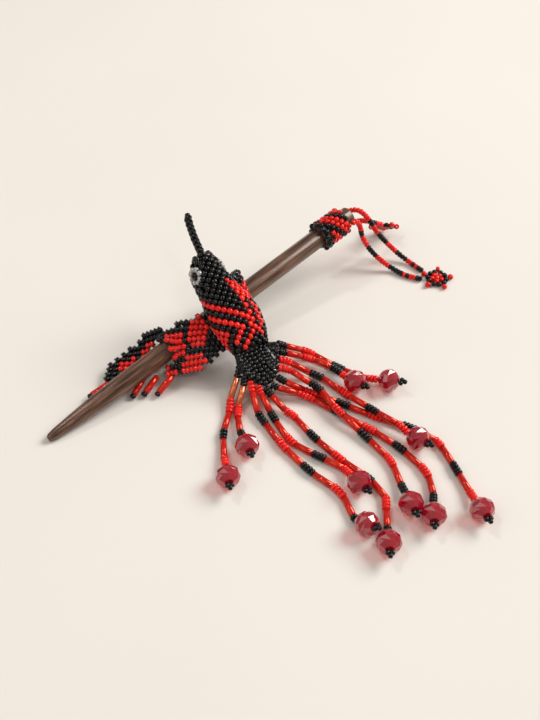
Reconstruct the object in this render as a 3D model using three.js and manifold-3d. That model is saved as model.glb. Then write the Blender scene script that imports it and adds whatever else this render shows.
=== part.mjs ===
// Hair stick with a beaded hummingbird. A tapered wooden stick runs through a slot in each wing of a
// stuffed seed-bead bird. Eleven strings of bugle and seed beads hang from the tail, each with a
// faceted crystal, and the stick's blunt end carries a beaded sleeve and a tassel with two stars.
// The piece lies on a table. Millimetres, x right, y away, z up.

import * as THREE from 'three';
import { mergeVertices } from 'three/addons/utils/BufferGeometryUtils.js';
import Module from 'manifold-3d';

// Beads
const SEED_PITCH = 1.3;
const SEED_DIAMETER = 2.0;
const BUGLE_LENGTH = 7.3;
const BUGLE_DIAMETER = 1.9;
const CRYSTAL_DIAMETER = 8.0;
const CRYSTAL_LENGTH = 7.0;
const CRYSTAL_TABLE = 3.2;
const CRYSTAL_SIDES = 10;
const BORE_DIAMETER = 1.5;
// Facet bands from end to end: place as a share of half the length, diameter, and turn in facets
const CRYSTAL_BANDS = [
  { along: -1, diameter: BORE_DIAMETER, phase: 0 },
  { along: -1, diameter: CRYSTAL_TABLE, phase: 0 },
  { along: -0.66, diameter: CRYSTAL_DIAMETER * 0.8, phase: 0 },
  { along: -0.2, diameter: CRYSTAL_DIAMETER, phase: 0.5 },
  { along: 0.2, diameter: CRYSTAL_DIAMETER, phase: 0.5 },
  { along: 0.66, diameter: CRYSTAL_DIAMETER * 0.8, phase: 0 },
  { along: 1, diameter: CRYSTAL_TABLE, phase: 0 },
  { along: 1, diameter: BORE_DIAMETER, phase: 0 },
];
const CRYSTAL_TILT = 15;
const PICOT_LENGTH = 2.8;
const PICOT_WIDTH = 3.0;
const THREAD_DIAMETER = 0.7;
const GAP = 0.3;
const STRING_SIDES = 8;
const RUN_INSET = 0.08;

// Stick: axis point over the tip's rest on the table, direction, length and diameters
const STICK_LENGTH = 138;
const STICK_DIAMETER = 7;
const STICK_TIP = [-72.6, -36.7, 1.38];
const STICK_YAW = 41.6;
const STICK_PITCH = 8.45;
const STICK_SIDES = 20;
const TAPER_LENGTH = 48;
// Taper as shares: distance of the taper's length, radius of the stick's radius
const TAPER = [
  { along: 0, radius: 0.24 },
  { along: 0.015, radius: 0.4 },
  { along: 0.06, radius: 0.52 },
  { along: 0.31, radius: 0.77 },
  { along: 0.6, radius: 0.93 },
  { along: 1, radius: 1 },
];
const SLOT_CLEARANCE = 0.45;

// Beaded sleeve on the blunt end, with a raised rim of two black rows
const SLEEVE_LENGTH = 12.6;
const SLEEVE_WALL = 1.8;
const SLEEVE_END = 3.2;
const RIM_LENGTH = 2.8;
const RIM_RISE = 0.25;

// Bird's body: axis from the beak to the tail root, with its half width and half depth
const BEAK_BASE = [-23.3, 22.1, 31];
const TAIL_ROOT = [-6.1, -5.6, 11];
const BODY_ROLL = 10;
const BODY_WIDTH = 19;
const BODY_DEPTH = 14;
const BODY_SIDES = 24;
// Sections as shares: distance of the axis, width and depth of the body's own, and how far the
// turned head sits to the bird's left, as a share of the width
const BODY_SECTIONS = [
  { along: 0, width: 0.2, depth: 0.26, left: 0.04 },
  { along: 0.05, width: 0.4, depth: 0.5, left: 0.07 },
  { along: 0.12, width: 0.55, depth: 0.7, left: 0.1 },
  { along: 0.22, width: 0.66, depth: 0.86, left: 0.12 },
  { along: 0.32, width: 0.7, depth: 0.88, left: 0.1 },
  { along: 0.42, width: 0.76, depth: 0.93, left: 0.07 },
  { along: 0.54, width: 0.91, depth: 1, left: 0.03 },
  { along: 0.68, width: 0.99, depth: 0.98, left: 0.01 },
  { along: 0.82, width: 0.93, depth: 0.84, left: 0 },
  { along: 0.93, width: 0.8, depth: 0.62, left: 0 },
  { along: 1, width: 0.7, depth: 0.42, left: 0 },
];
const BEAK_TIP = [-28.9, 33.8, 38.6];
const BEAK_DIAMETER = 2.5;
// Beak's stations: share of its length, bend to the left in mm, and width as a share
const BEAK_SHAPE = [
  { along: 0, bend: 0, width: 0.9 },
  { along: 0.4, bend: 0.5, width: 1 },
  { along: 0.75, bend: 0.5, width: 1 },
  { along: 0.93, bend: 0.2, width: 0.95 },
  { along: 1, bend: 0, width: 0.55 },
];
const EYE_DIAMETER = 6.2;
const EYE_HEIGHT = 1.5;
const EYE_RECESS = 0.9;
const EYE_ALONG = 0.2;
const EYE_ANGLE = 12;

// Wings: sheets of beads that arch out along the stick, head side at plus, tail side at minus
const WING_THICKNESS = 1.8;
const WING_REST = 1;
const WING_SEAM = 0.35;
const WING_STEPS = 16;
const CHORD_STEPS = 10;
// Run of each wing's middle line: distance along the stick from its tip, and height
const LEFT_WING_LINE = [[66, 19.5], [59.5, 18.4], [53, 14.4], [47.5, 8], [42.5, 3.7], [36, 2.2], [28.6, 1.4]];
const RIGHT_WING_LINE = [[75.5, 20], [79, 22.4], [83, 22.6], [86, 18.6], [85.4, 10.5], [82, 2]];
// Chord at shares of the line: head edge, tail edge, and the slopes of the sheet on either side
const WING_CHORDS = [
  { share: 0, head: -2.5, tail: -15, rise: 0.2, fall: 0.46 },
  { share: 0.15, head: -1, tail: -15, rise: 0.12, fall: 0.48 },
  { share: 0.33, head: 3, tail: -13.5, rise: 0.12, fall: 0.48 },
  { share: 0.42, head: 7.8, tail: -11, rise: 0.12, fall: 0.44 },
  { share: 0.52, head: 10.4, tail: -8.5, rise: 0.12, fall: 0.38 },
  { share: 0.6, head: 11, tail: -4.8, rise: 0.14, fall: 0.3 },
  { share: 0.68, head: 11.8, tail: -1.5, rise: 0.18, fall: 0.2 },
  { share: 0.83, head: 12, tail: 3.2, rise: 0.16, fall: 0.1 },
  { share: 1, head: 9.8, tail: 6.9, rise: 0.12, fall: 0.1 },
];
// The right wing is folded down: shares of its reach on the tail side and of its width on the head side
const RIGHT_TAIL_REACH = 0.4;
const RIGHT_HEAD_WIDTH = 0.75;
// Fringe on the tail-side edge: share of the line, and the way each drop lies along, across and down
const FRINGE_GAP = 0.5;
const LEFT_FRINGE = [
  { share: 0.99, along: -1, across: -0.03, down: -0.05 },
  { share: 0.75, along: -0.9, across: -0.42, down: -0.3 },
  { share: 0.66, along: -0.97, across: -0.3, down: -0.3 },
  { share: 0.56, along: -0.97, across: -0.15, down: -0.35 },
];
const RIGHT_FRINGE = [
  { share: 0.97, along: -0.9, across: -0.2, down: -0.1 },
  { share: 0.85, along: -0.6, across: -0.5, down: -0.5 },
  { share: 0.77, along: -0.5, across: -0.5, down: -0.65 },
  { share: 0.6, along: -0.1, across: -0.3, down: -0.95 },
];

// Tail flap: its root lies under the body's end, and the strings leave its edge
const FLAP_THICKNESS = 2.0;
const FLAP_GAP = 1.25;
const FLAP_ROWS = 4;
const FLAP_LOWEST_STRING = 6;

// Routes of the bead strings, chosen by hand: flap edge, bends, and the crystal's centre
// Runs: R and B are red and black seed beads with their count, b is one bugle
const TAIL_STRINGS = [
  { runs: 'B3 b R4 b B3 b R4', crystal: [-13.2, -53.5],
    route: [[-10.3, -11.2, 9], [-10.9, -13.6, 7], [-13.2, -19, 3], [-13.6, -24.4, 1.4], [-15, -31, 1.2],
      [-15.2, -41, 1.4]] },
  { runs: 'B3 b R4 b B3', crystal: [-7.4, -41.2],
    route: [[-8.6, -14.3, 7.6], [-8.7, -16.2, 6], [-10.4, -20.3, 3], [-10.6, -24.4, 1.4], [-10.6, -31, 1.6]] },
  { runs: 'R3 b B4 b R4 b B4 b R4 b B2', crystal: [29.3, -71.4], tilt: 35,
    route: [[-6.6, -15.8, 6.6], [-6.1, -18.2, 5.1], [-4.7, -24.7, 2.4], [-1.8, -29.7, 1.2], [4.4, -39.7, 1.2],
      [13.2, -50, 1.2], [21.8, -57.8, 1.2], [24.8, -64.5, 1.2], [25.9, -67.6, 1.4]] },
  { runs: 'R3 b B4 b R4 b B4 b R4', crystal: [27.8, -55.8],
    route: [[-4.2, -17.1, 5.9], [-3.4, -18.8, 4.6], [-0.9, -22.9, 2.3], [0.9, -26.8, 1.2], [6.9, -37.5, 1.2],
      [17.2, -44.6, 1.2], [23, -48.2, 1.5]] },
  { runs: 'B3 b R4 b B4 b R4 b B4 b R4 b B2', crystal: [35.4, -77.7],
    route: [[-1.7, -17.8, 5.5], [-0.5, -18.7, 4.3], [4.2, -23.9, 2], [7.5, -26.4, 1.2], [14.6, -36, 1.2],
      [23.6, -45.6, 1.2], [31.8, -53.1, 1.2], [35.8, -58.5, 1.2], [35.7, -66, 1.4]] },
  { runs: 'B2 b R5 b B4 b R4 b B4 b R4 b B4', crystal: [49.9, -67.8],
    route: [[0.4, -16.6, 5.6], [1.8, -16.9, 4.9], [8.2, -17.8, 3.1], [13.1, -19.1, 1.9], [20, -23.3, 1.2],
      [29.7, -30.2, 1.2], [39.1, -37.3, 1.2], [49.1, -49, 1.2], [51, -56.3, 1.5]] },
  { runs: 'B3 b R4 b B4 b R4 b B4 b R3 b B4 b R4', crystal: [64.8, -66],
    route: [[2.5, -13.9, 6.6], [4, -14.1, 5.2], [10, -15.4, 2.6], [14, -16.4, 1.2], [21.2, -19.8, 1.2],
      [30.7, -24.7, 1.2], [35.9, -27.5, 1.2], [47, -32, 1.2], [54.4, -37.5, 1.2], [59.7, -49.8, 1.2],
      [62, -56.5, 1.5]] },
  { runs: 'R4 b B4 b R4 b B4 b R4 b B4', crystal: [43.3, -63.7],
    route: [[2.7, -10.9, 7.7], [6, -10.6, 6.7], [12.5, -14.4, 5], [16.8, -17.2, 4], [21.3, -24.1, 3.6],
      [24.3, -28.2, 3.2], [31.4, -36, 1.7], [38.6, -45.4, 1.2], [40.6, -52.8, 1.5]] },
  { runs: 'R4 b B4 b R4 b B4 b R4', crystal: [48, -38.3],
    route: [[2.9, -7.9, 8.6], [5.8, -7, 7], [13, -8.6, 3.2], [17.3, -9.3, 1.4], [27.2, -18.6, 1.7],
      [33.2, -24.6, 3], [36.8, -28.2, 3.6], [42.8, -33, 3.7]] },
  { runs: 'B3 b R4 b B4 R2', crystal: [29, -13.5],
    route: [[2.9, -5.1, 9.6], [5.4, -3.9, 7.8], [12.1, -2.6, 4.2], [15.8, -2.6, 2.6], [22.3, -6.6, 2.7]] },
  { runs: 'B3 b R4 b B4 b R4', crystal: [40.6, -13.1],
    route: [[2.5, -2.1, 10.6], [5.2, -1, 8.3], [12.1, 1.1, 3.7], [15.7, 0.9, 1.6], [22.5, -3.9, 1.2],
      [32, -9.7, 1.6]] },
];

// Tassel on the blunt end. Each string starts at a place round the sleeve's end, in degrees from its
// right side up, and its route goes on from there to a star's edge
const TASSEL_STRINGS = [
  { runs: 'R7 B2 R4 B4 R5 B5 R1 B1 R2 B2', start: 10, route: [[33.6, 51.6, 18.6], [35.2, 51.6, 12.6],
    [38.5, 49.6, 8], [42.5, 48, 4.5], [47.2, 46.4, 1.6], [51.6, 43.4, 1.1], [57.9, 41.1, 1.1]] },
  { runs: 'R12 B2 R3 B4 R4 B4 R2 B1 R1 B2', start: 215, route: [[27.9, 58.2, 19.4], [33, 58, 20.9],
    [36, 57.5, 18.8], [38, 56.8, 16.5], [40.9, 55.8, 12], [45.5, 54.6, 7], [49.6, 53.2, 3.5],
    [53.4, 51, 1.5], [57.4, 47, 1.1], [58.5, 45.8, 1.1]] },
  { runs: 'R11 B2 R4', start: 262, route: [[31.6, 55.4, 17.2], [36.3, 58.6, 15.2], [40.6, 61.4, 11.8],
    [43.7, 64.1, 8.7]] },
];
const STAR_RADIUS = 6.5;
const STAR_WAIST = 3.3;
const STAR_THICKNESS = 2.0;
const STAR_POINTS = 5;
const STARS = [
  { name: 'star_flat', centre: [63.6, 41.7, 1], turn: 8, lean: 0 },
  { name: 'star_leaning', centre: [45, 67.2, 5.42], turn: 12, lean: -47 },
];

const RED = 0xc81e19;
const BLACK = 0x121214;
const WHITE = 0xe9e6e2;
const WOOD = 0x64402d;
const RUBY = 0xa81530;

const rad = THREE.MathUtils.degToRad;
const wasm = await Module();
wasm.setup();

function vector(list) {
  return new THREE.Vector3(list[0], list[1], list[2]);
}

function material(color, roughness) {
  return new THREE.MeshStandardMaterial({ color, roughness, metalness: 0 });
}

const redBeads = material(RED, 0.3);
const blackBeads = material(BLACK, 0.2);
const whiteBeads = material(WHITE, 0.3);
const wood = material(WOOD, 0.35);
const ruby = material(RUBY, 0.08);

const group = new THREE.Group();

function addMesh(name, geometry, surface) {
  const mesh = new THREE.Mesh(geometry, surface);
  mesh.name = name;
  group.add(mesh);
  return mesh;
}

// Closed skin through rings of equal count: capped at both ends, or joined back to the first ring
function skin(rings, joined) {
  const count = rings[0].length;
  const points = rings.flat();
  const faces = [];
  const bands = joined ? rings.length : rings.length - 1;
  for (let band = 0; band < bands; band += 1) {
    const here = band * count;
    const next = ((band + 1) % rings.length) * count;
    for (let side = 0; side < count; side += 1) {
      const turn = (side + 1) % count;
      faces.push(here + side, here + turn, next + side);
      faces.push(here + turn, next + turn, next + side);
    }
  }
  if (!joined) {
    const last = (rings.length - 1) * count;
    for (let side = 1; side < count - 1; side += 1) {
      faces.push(0, side + 1, side);
      faces.push(last, last + side, last + side + 1);
    }
  }
  const geometry = new THREE.BufferGeometry();
  geometry.setAttribute('position', new THREE.Float32BufferAttribute(points.flatMap((p) => p.toArray()), 3));
  geometry.setIndex(faces);
  return geometry;
}

// Ring of points about a centre, in the plane of two unit directions
function ring(centre, right, up, halfWidth, halfHeight, sides, phase = 0) {
  return Array.from({ length: sides }, (_, index) => {
    const angle = ((index + phase) / sides) * 2 * Math.PI;
    return centre.clone()
      .addScaledVector(right, halfWidth * Math.sin(angle))
      .addScaledVector(up, halfHeight * Math.cos(angle));
  });
}

// Directions across a run: level to its right, and square to both. Rings turn from up to right.
function crossDirections(direction) {
  const right = new THREE.Vector3(direction.y, -direction.x, 0).normalize();
  const up = new THREE.Vector3().crossVectors(right, direction);
  return { right, up };
}

// Solid with a round section of changing radius through a row of points
function stringSolid(stations) {
  const rings = stations.map((station, index) => {
    const before = stations[Math.max(0, index - 1)].point;
    const after = stations[Math.min(stations.length - 1, index + 1)].point;
    const direction = after.clone().sub(before).normalize();
    const { right, up } = crossDirections(direction);
    return ring(station.point, right, up, station.radius, station.radius, STRING_SIDES, 0.5);
  });
  return skin(rings, false);
}

function toManifold(geometry) {
  const bare = geometry.clone();
  bare.deleteAttribute('normal');
  bare.deleteAttribute('uv');
  const merged = mergeVertices(bare, 1e-4);
  return new wasm.Manifold(new wasm.Mesh({
    numProp: 3,
    vertProperties: new Float32Array(merged.attributes.position.array),
    triVerts: new Uint32Array(merged.index.array),
  }));
}

function fromManifold(solid) {
  const mesh = solid.getMesh();
  const geometry = new THREE.BufferGeometry();
  geometry.setAttribute('position', new THREE.BufferAttribute(new Float32Array(mesh.vertProperties), 3));
  geometry.setIndex(Array.from(mesh.triVerts));
  return geometry;
}

// Stick, straight along its own axis from the tip
const stickDirection = new THREE.Vector3(
  Math.cos(rad(STICK_YAW)) * Math.cos(rad(STICK_PITCH)),
  Math.sin(rad(STICK_YAW)) * Math.cos(rad(STICK_PITCH)),
  Math.sin(rad(STICK_PITCH)),
);
const stickCross = crossDirections(stickDirection);
const stickPoint = (distance) => vector(STICK_TIP).addScaledVector(stickDirection, distance);

function stickRing(distance, radius, sides) {
  return ring(stickPoint(distance), stickCross.right, stickCross.up, radius, radius, sides, 0.5);
}

const stickRings = TAPER.map(({ along, radius }) => (
  stickRing(along * TAPER_LENGTH, (radius * STICK_DIAMETER) / 2, STICK_SIDES)
));
stickRings.push(stickRing(STICK_LENGTH, STICK_DIAMETER / 2, STICK_SIDES));
addMesh('stick', skin(stickRings, false), wood);

// Sleeve round the blunt end: a tube whose inner wall clears the stick
function sleeveTube(start, end, outer) {
  const inner = STICK_DIAMETER / 2 + GAP;
  return skin([
    stickRing(start, inner, STICK_SIDES),
    stickRing(start, outer, STICK_SIDES),
    stickRing(end, outer, STICK_SIDES),
    stickRing(end, inner, STICK_SIDES),
  ], true);
}

const sleeveEnd = STICK_LENGTH - SLEEVE_END;
const sleeveStart = sleeveEnd - SLEEVE_LENGTH;
const sleeveRadius = STICK_DIAMETER / 2 + GAP + SLEEVE_WALL;
const tasselSeat = STICK_DIAMETER / 2 + GAP + SEED_DIAMETER / 2;
addMesh('sleeve_rim', sleeveTube(sleeveStart, sleeveStart + RIM_LENGTH, sleeveRadius + RIM_RISE), blackBeads);
addMesh('sleeve', sleeveTube(sleeveStart + RIM_LENGTH + GAP / 2, sleeveEnd, sleeveRadius), redBeads);

// Body, lofted through oval sections and rolled about its axis
const beakBase = vector(BEAK_BASE);
const tailRoot = vector(TAIL_ROOT);
const bodyDirection = tailRoot.clone().sub(beakBase).normalize();
const levelCross = crossDirections(bodyDirection);
const birdLeft = levelCross.right.clone().applyAxisAngle(bodyDirection, rad(-BODY_ROLL));
const bodyUp = levelCross.up.clone().applyAxisAngle(bodyDirection, rad(-BODY_ROLL));

function bodyShare(along, key) {
  const next = Math.max(1, BODY_SECTIONS.findIndex((section) => section.along >= along));
  const low = BODY_SECTIONS[next - 1];
  const high = BODY_SECTIONS[next];
  return THREE.MathUtils.mapLinear(along, low.along, high.along, low[key], high[key]);
}

function bodyCentre(along) {
  return beakBase.clone().lerp(tailRoot, along)
    .addScaledVector(birdLeft, bodyShare(along, 'left') * BODY_WIDTH);
}

function bodyGrown(growth) {
  return toManifold(skin(BODY_SECTIONS.map(({ along, width, depth }) => ring(
    bodyCentre(along),
    birdLeft,
    bodyUp,
    (width * BODY_WIDTH) / 2 + growth,
    (depth * BODY_DEPTH) / 2 + growth,
    BODY_SIDES,
  )), false));
}

// Eyes: round rosettes let into the sides of the head
function eyeSolid(side, radius, depth, height) {
  const outward = birdLeft.clone().multiplyScalar(side * Math.cos(rad(EYE_ANGLE)))
    .addScaledVector(bodyUp, Math.sin(rad(EYE_ANGLE)));
  const surface = bodyCentre(EYE_ALONG)
    .addScaledVector(outward, (bodyShare(EYE_ALONG, 'width') * BODY_WIDTH) / 2);
  const turn = new THREE.Vector3().crossVectors(outward, bodyDirection).normalize();
  const flat = new THREE.Vector3().crossVectors(turn, outward);
  return skin([
    ring(surface.clone().addScaledVector(outward, -depth), turn, flat, radius, radius, 12),
    ring(surface.clone().addScaledVector(outward, height - depth), turn, flat, radius, radius, 12),
  ], false);
}

// The stuffed belly is pressed in where it lies on the stick
const slotCutter = toManifold(skin([
  stickRing(0, STICK_DIAMETER / 2 + SLOT_CLEARANCE, STICK_SIDES),
  stickRing(STICK_LENGTH, STICK_DIAMETER / 2 + SLOT_CLEARANCE, STICK_SIDES),
], false));
let bodySolid = bodyGrown(0).subtract(slotCutter);
const eyeRadius = EYE_DIAMETER / 2;
for (const side of [1, -1]) {
  const recess = toManifold(eyeSolid(side, eyeRadius + GAP, EYE_RECESS + GAP, EYE_DIAMETER));
  bodySolid = bodySolid.subtract(recess);
}
addMesh('body', fromManifold(bodySolid), blackBeads);
addMesh('eye_left', eyeSolid(1, eyeRadius, EYE_RECESS, EYE_HEIGHT), whiteBeads);
addMesh('eye_right', eyeSolid(-1, eyeRadius, EYE_RECESS, EYE_HEIGHT), whiteBeads);

// Beak: a rope of beads that curves a little down to its tip
const beakStart = bodyCentre(0).addScaledVector(bodyDirection, -GAP);
const beakStations = BEAK_SHAPE.map(({ along, bend, width }) => ({
  point: beakStart.clone().lerp(vector(BEAK_TIP), along).addScaledVector(birdLeft, bend),
  radius: (width * BEAK_DIAMETER) / 2,
}));
addMesh('beak', stringSolid(beakStations), blackBeads);

// Wings: grid of points over each sheet, thickened and cut where the stick passes through
const planAlong = new THREE.Vector3(Math.cos(rad(STICK_YAW)), Math.sin(rad(STICK_YAW)), 0);
const planAcross = new THREE.Vector3(-planAlong.y, planAlong.x, 0);

function chordAt(share) {
  const next = Math.max(1, WING_CHORDS.findIndex((chord) => chord.share >= share));
  const low = WING_CHORDS[next - 1];
  const high = WING_CHORDS[next];
  const mix = (key) => THREE.MathUtils.mapLinear(share, low.share, high.share, low[key], high[key]);
  return { head: mix('head'), tail: mix('tail'), rise: mix('rise'), fall: mix('fall') };
}

function wingPoint(wing, share, chordShare) {
  const chord = chordAt(share);
  const across = THREE.MathUtils.lerp(chord.tail, chord.head * wing.headWidth, chordShare);
  const reach = THREE.MathUtils.lerp(wing.tailReach, 1, chordShare);
  const root = wing.line.getPoint(0);
  const spot = wing.line.getPointAt(share);
  const along = root.x + (spot.x - root.x) * reach;
  return new THREE.Vector3(STICK_TIP[0], STICK_TIP[1], 0)
    .addScaledVector(planAlong, along)
    .addScaledVector(planAcross, across)
    .setZ(Math.max(spot.y + across * (across > 0 ? chord.rise : chord.fall), WING_REST));
}

function wingNormal(wing, share, chordShare) {
  const step = 0.02;
  const outLow = wingPoint(wing, Math.max(0, share - step), chordShare);
  const outHigh = wingPoint(wing, Math.min(1, share + step), chordShare);
  const acrossLow = wingPoint(wing, share, Math.max(0, chordShare - step));
  const acrossHigh = wingPoint(wing, share, Math.min(1, chordShare + step));
  return new THREE.Vector3().crossVectors(outHigh.sub(outLow), acrossHigh.sub(acrossLow)).normalize();
}

// Closed sheet between two grids of points, the top one facing out
function sheetSkin(top, bottom) {
  const rows = top.length;
  const columns = top[0].length;
  const points = top.flat().concat(bottom.flat());
  const at = (row, column) => row * columns + column;
  const under = (row, column) => rows * columns + at(row, column);
  const faces = [];
  const quad = (a, b, c, d) => faces.push(a, b, c, a, c, d);
  for (let row = 0; row < rows - 1; row += 1) {
    for (let column = 0; column < columns - 1; column += 1) {
      quad(at(row, column), at(row + 1, column), at(row + 1, column + 1), at(row, column + 1));
      quad(under(row, column), under(row, column + 1), under(row + 1, column + 1), under(row + 1, column));
    }
    const last = columns - 1;
    quad(at(row, 0), under(row, 0), under(row + 1, 0), at(row + 1, 0));
    quad(at(row, last), at(row + 1, last), under(row + 1, last), under(row, last));
  }
  for (let column = 0; column < columns - 1; column += 1) {
    const last = rows - 1;
    quad(at(0, column), at(0, column + 1), under(0, column + 1), under(0, column));
    quad(at(last, column), under(last, column), under(last, column + 1), at(last, column + 1));
  }
  const geometry = new THREE.BufferGeometry();
  geometry.setAttribute('position', new THREE.Float32BufferAttribute(points.flatMap((p) => p.toArray()), 3));
  geometry.setIndex(faces);
  return geometry;
}

function addWing(name, wing) {
  const top = [];
  const bottom = [];
  for (let row = 0; row <= WING_STEPS; row += 1) {
    const above = [];
    const below = [];
    for (let column = 0; column <= CHORD_STEPS; column += 1) {
      const spot = [wing, row / WING_STEPS, column / CHORD_STEPS];
      const normal = wingNormal(...spot);
      above.push(wingPoint(...spot).addScaledVector(normal, WING_THICKNESS / 2));
      below.push(wingPoint(...spot).addScaledVector(normal, -WING_THICKNESS / 2));
    }
    top.push(above);
    bottom.push(below);
  }
  const sheet = toManifold(sheetSkin(top, bottom)).subtract(slotCutter).subtract(bodyGrown(WING_SEAM));
  const pieces = sheet.decompose().sort((a, b) => b.volume() - a.volume());
  addMesh(name, fromManifold(pieces[0]), redBeads);
}

// Fringe: one bugle and one black bead hang from each place on the wing's tail-side edge
function addFringe(name, wing, { share, along, across, down }) {
  const edge = wingPoint(wing, share, 0);
  const inside = wingPoint(wing, share, 0.12);
  const start = edge.clone().add(edge.clone().sub(inside).setLength(FRINGE_GAP));
  const drop = new THREE.Vector3(0, 0, down)
    .addScaledVector(planAlong, along)
    .addScaledVector(planAcross, across);
  const length = BUGLE_LENGTH + SEED_PITCH;
  start.addScaledVector(drop, FRINGE_GAP);
  const end = start.clone().addScaledVector(drop, length);
  end.z = Math.max(end.z, SEED_DIAMETER / 2);
  const direction = end.clone().sub(start).setLength(1);
  const at = (distance, radius) => ({ point: start.clone().addScaledVector(direction, distance), radius });
  const bugle = BUGLE_DIAMETER / 2;
  const seed = SEED_DIAMETER / 2;
  addMesh(name, stringSolid([
    at(0, bugle),
    at(BUGLE_LENGTH - RUN_INSET, bugle),
    at(BUGLE_LENGTH + RUN_INSET, seed),
    at(length - RUN_INSET, seed),
    at(length + GAP, seed / 2),
  ]), redBeads);
}

const wingLine = (points) => new THREE.SplineCurve(points.map(([along, height]) => (
  new THREE.Vector2(along, height)
)));
const wings = [
  { side: 'left', line: wingLine(LEFT_WING_LINE), tailReach: 1, headWidth: 1, fringe: LEFT_FRINGE },
  {
    side: 'right',
    line: wingLine(RIGHT_WING_LINE),
    tailReach: RIGHT_TAIL_REACH,
    headWidth: RIGHT_HEAD_WIDTH,
    fringe: RIGHT_FRINGE,
  },
];
for (const wing of wings) {
  addWing(`wing_${wing.side}`, wing);
  wing.fringe.forEach((drop, index) => addFringe(`fringe_${wing.side}_${index + 1}`, wing, drop));
}

// Tail strings, each with its runs of beads at their own length along the route
const runPattern = /([RB])(\d+)|b/g;

function stringRuns(text) {
  return [...text.matchAll(runPattern)].map(([whole, , count]) => (
    whole === 'b' ? { length: BUGLE_LENGTH, radius: BUGLE_DIAMETER / 2, bends: 1 }
      : { length: Number(count) * SEED_PITCH, radius: SEED_DIAMETER / 2, bends: 3 }
  ));
}

function runStations(curve, runs) {
  const total = runs.reduce((sum, run) => sum + run.length, 0);
  const stations = [];
  let reached = 0;
  for (const run of runs) {
    for (let step = 0; step <= run.bends; step += 1) {
      const share = (reached + (run.length * step) / run.bends) / total;
      const inset = { 0: RUN_INSET, [run.bends]: -RUN_INSET }[step] ?? 0;
      const point = curve.getPointAt(THREE.MathUtils.clamp(share + inset / total, 0, 1));
      stations.push({ point, radius: run.radius });
    }
    reached += run.length;
  }
  return stations;
}

// Rings of a faceted bead about its middle, bored along its heading, with a table at each end
function crystalRings(heading) {
  const cross = crossDirections(heading);
  return CRYSTAL_BANDS.map(({ along, diameter, phase }) => ring(
    heading.clone().multiplyScalar((along * CRYSTAL_LENGTH) / 2),
    cross.right, cross.up, diameter / 2, diameter / 2, CRYSTAL_SIDES, phase,
  ));
}

function addTailString(index, { runs, route, crystal, tilt = CRYSTAL_TILT }) {
  const last = vector(route[route.length - 1]);
  const heading = new THREE.Vector3(crystal[0] - last.x, crystal[1] - last.y, 0).normalize();
  heading.multiplyScalar(Math.cos(rad(tilt))).setZ(Math.sin(rad(tilt)));
  const rings = crystalRings(heading);
  const lowest = Math.min(...rings.flat().map((point) => point.z));
  const centre = new THREE.Vector3(crystal[0], crystal[1], -lowest);
  rings.flat().forEach((point) => point.add(centre));
  addMesh(`crystal_${index}`, skin(rings, true), ruby);

  const exit = CRYSTAL_LENGTH / 2 + GAP;
  const at = (distance, radius) => ({ point: centre.clone().addScaledVector(heading, distance), radius });
  const entry = at(-exit - 0.3).point;
  const curve = new THREE.CatmullRomCurve3(route.map(vector).concat([entry]), false, 'centripetal');
  const seed = SEED_DIAMETER / 2;
  addMesh(`tail_string_${index}`, stringSolid([
    ...runStations(curve, stringRuns(runs)),
    at(-exit - 0.1, seed * 0.6),
    at(-exit, THREAD_DIAMETER / 2),
    at(exit, THREAD_DIAMETER / 2),
    at(exit + 0.1, seed * 0.6),
    at(exit + PICOT_LENGTH * 0.3, PICOT_WIDTH / 2),
    at(exit + PICOT_LENGTH * 0.75, PICOT_WIDTH / 2),
    at(exit + PICOT_LENGTH, PICOT_WIDTH / 4),
  ]), redBeads);
}

TAIL_STRINGS.forEach((string, index) => addTailString(index + 1, string));

// Tail flap: a flat sheet from under the body's end to the starts of the strings
function addFlap() {
  const starts = TAIL_STRINGS.map(({ route }) => ({
    start: vector(route[0]),
    away: vector(route[1]).sub(vector(route[0])).normalize(),
  }));
  const edge = starts.map(({ start, away }) => start.clone().addScaledVector(away, -FLAP_GAP));
  const root = tailRoot.clone().addScaledVector(bodyDirection, GAP);
  const halfRoot = (bodyShare(1, 'width') * BODY_WIDTH) / 2;
  const left = root.clone().addScaledVector(birdLeft, halfRoot);
  const right = root.clone().addScaledVector(birdLeft, -halfRoot);
  const bottomString = edge[FLAP_LOWEST_STRING - 1].clone();
  const lastString = edge[edge.length - 1].clone();
  const normal = new THREE.Vector3().crossVectors(bottomString.sub(edge[0]), lastString.sub(edge[0])).normalize();
  const top = [];
  const bottom = [];
  for (let row = 0; row <= FLAP_ROWS; row += 1) {
    const line = edge.map((point, index) => (
      left.clone().lerp(right, index / (edge.length - 1)).lerp(point, row / FLAP_ROWS)
    ));
    top.push(line.map((point) => point.clone().addScaledVector(normal, FLAP_THICKNESS / 2)));
    bottom.push(line.map((point) => point.clone().addScaledVector(normal, -FLAP_THICKNESS / 2)));
  }
  addMesh('tail_flap', sheetSkin(top, bottom), blackBeads);
}

addFlap();

// Tassel strings run from the sleeve's end, past the wood, to a star's edge
TASSEL_STRINGS.forEach(({ runs, start, route }, index) => {
  const seat = stickPoint(sleeveEnd + GAP)
    .addScaledVector(stickCross.right, tasselSeat * Math.cos(rad(start)))
    .addScaledVector(stickCross.up, tasselSeat * Math.sin(rad(start)));
  const past = seat.clone().addScaledVector(stickDirection, SLEEVE_END / 2);
  const curve = new THREE.CatmullRomCurve3([seat, past, ...route.map(vector)], false, 'centripetal');
  addMesh(`tassel_string_${index + 1}`, stringSolid(runStations(curve, stringRuns(runs))), redBeads);
});

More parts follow.
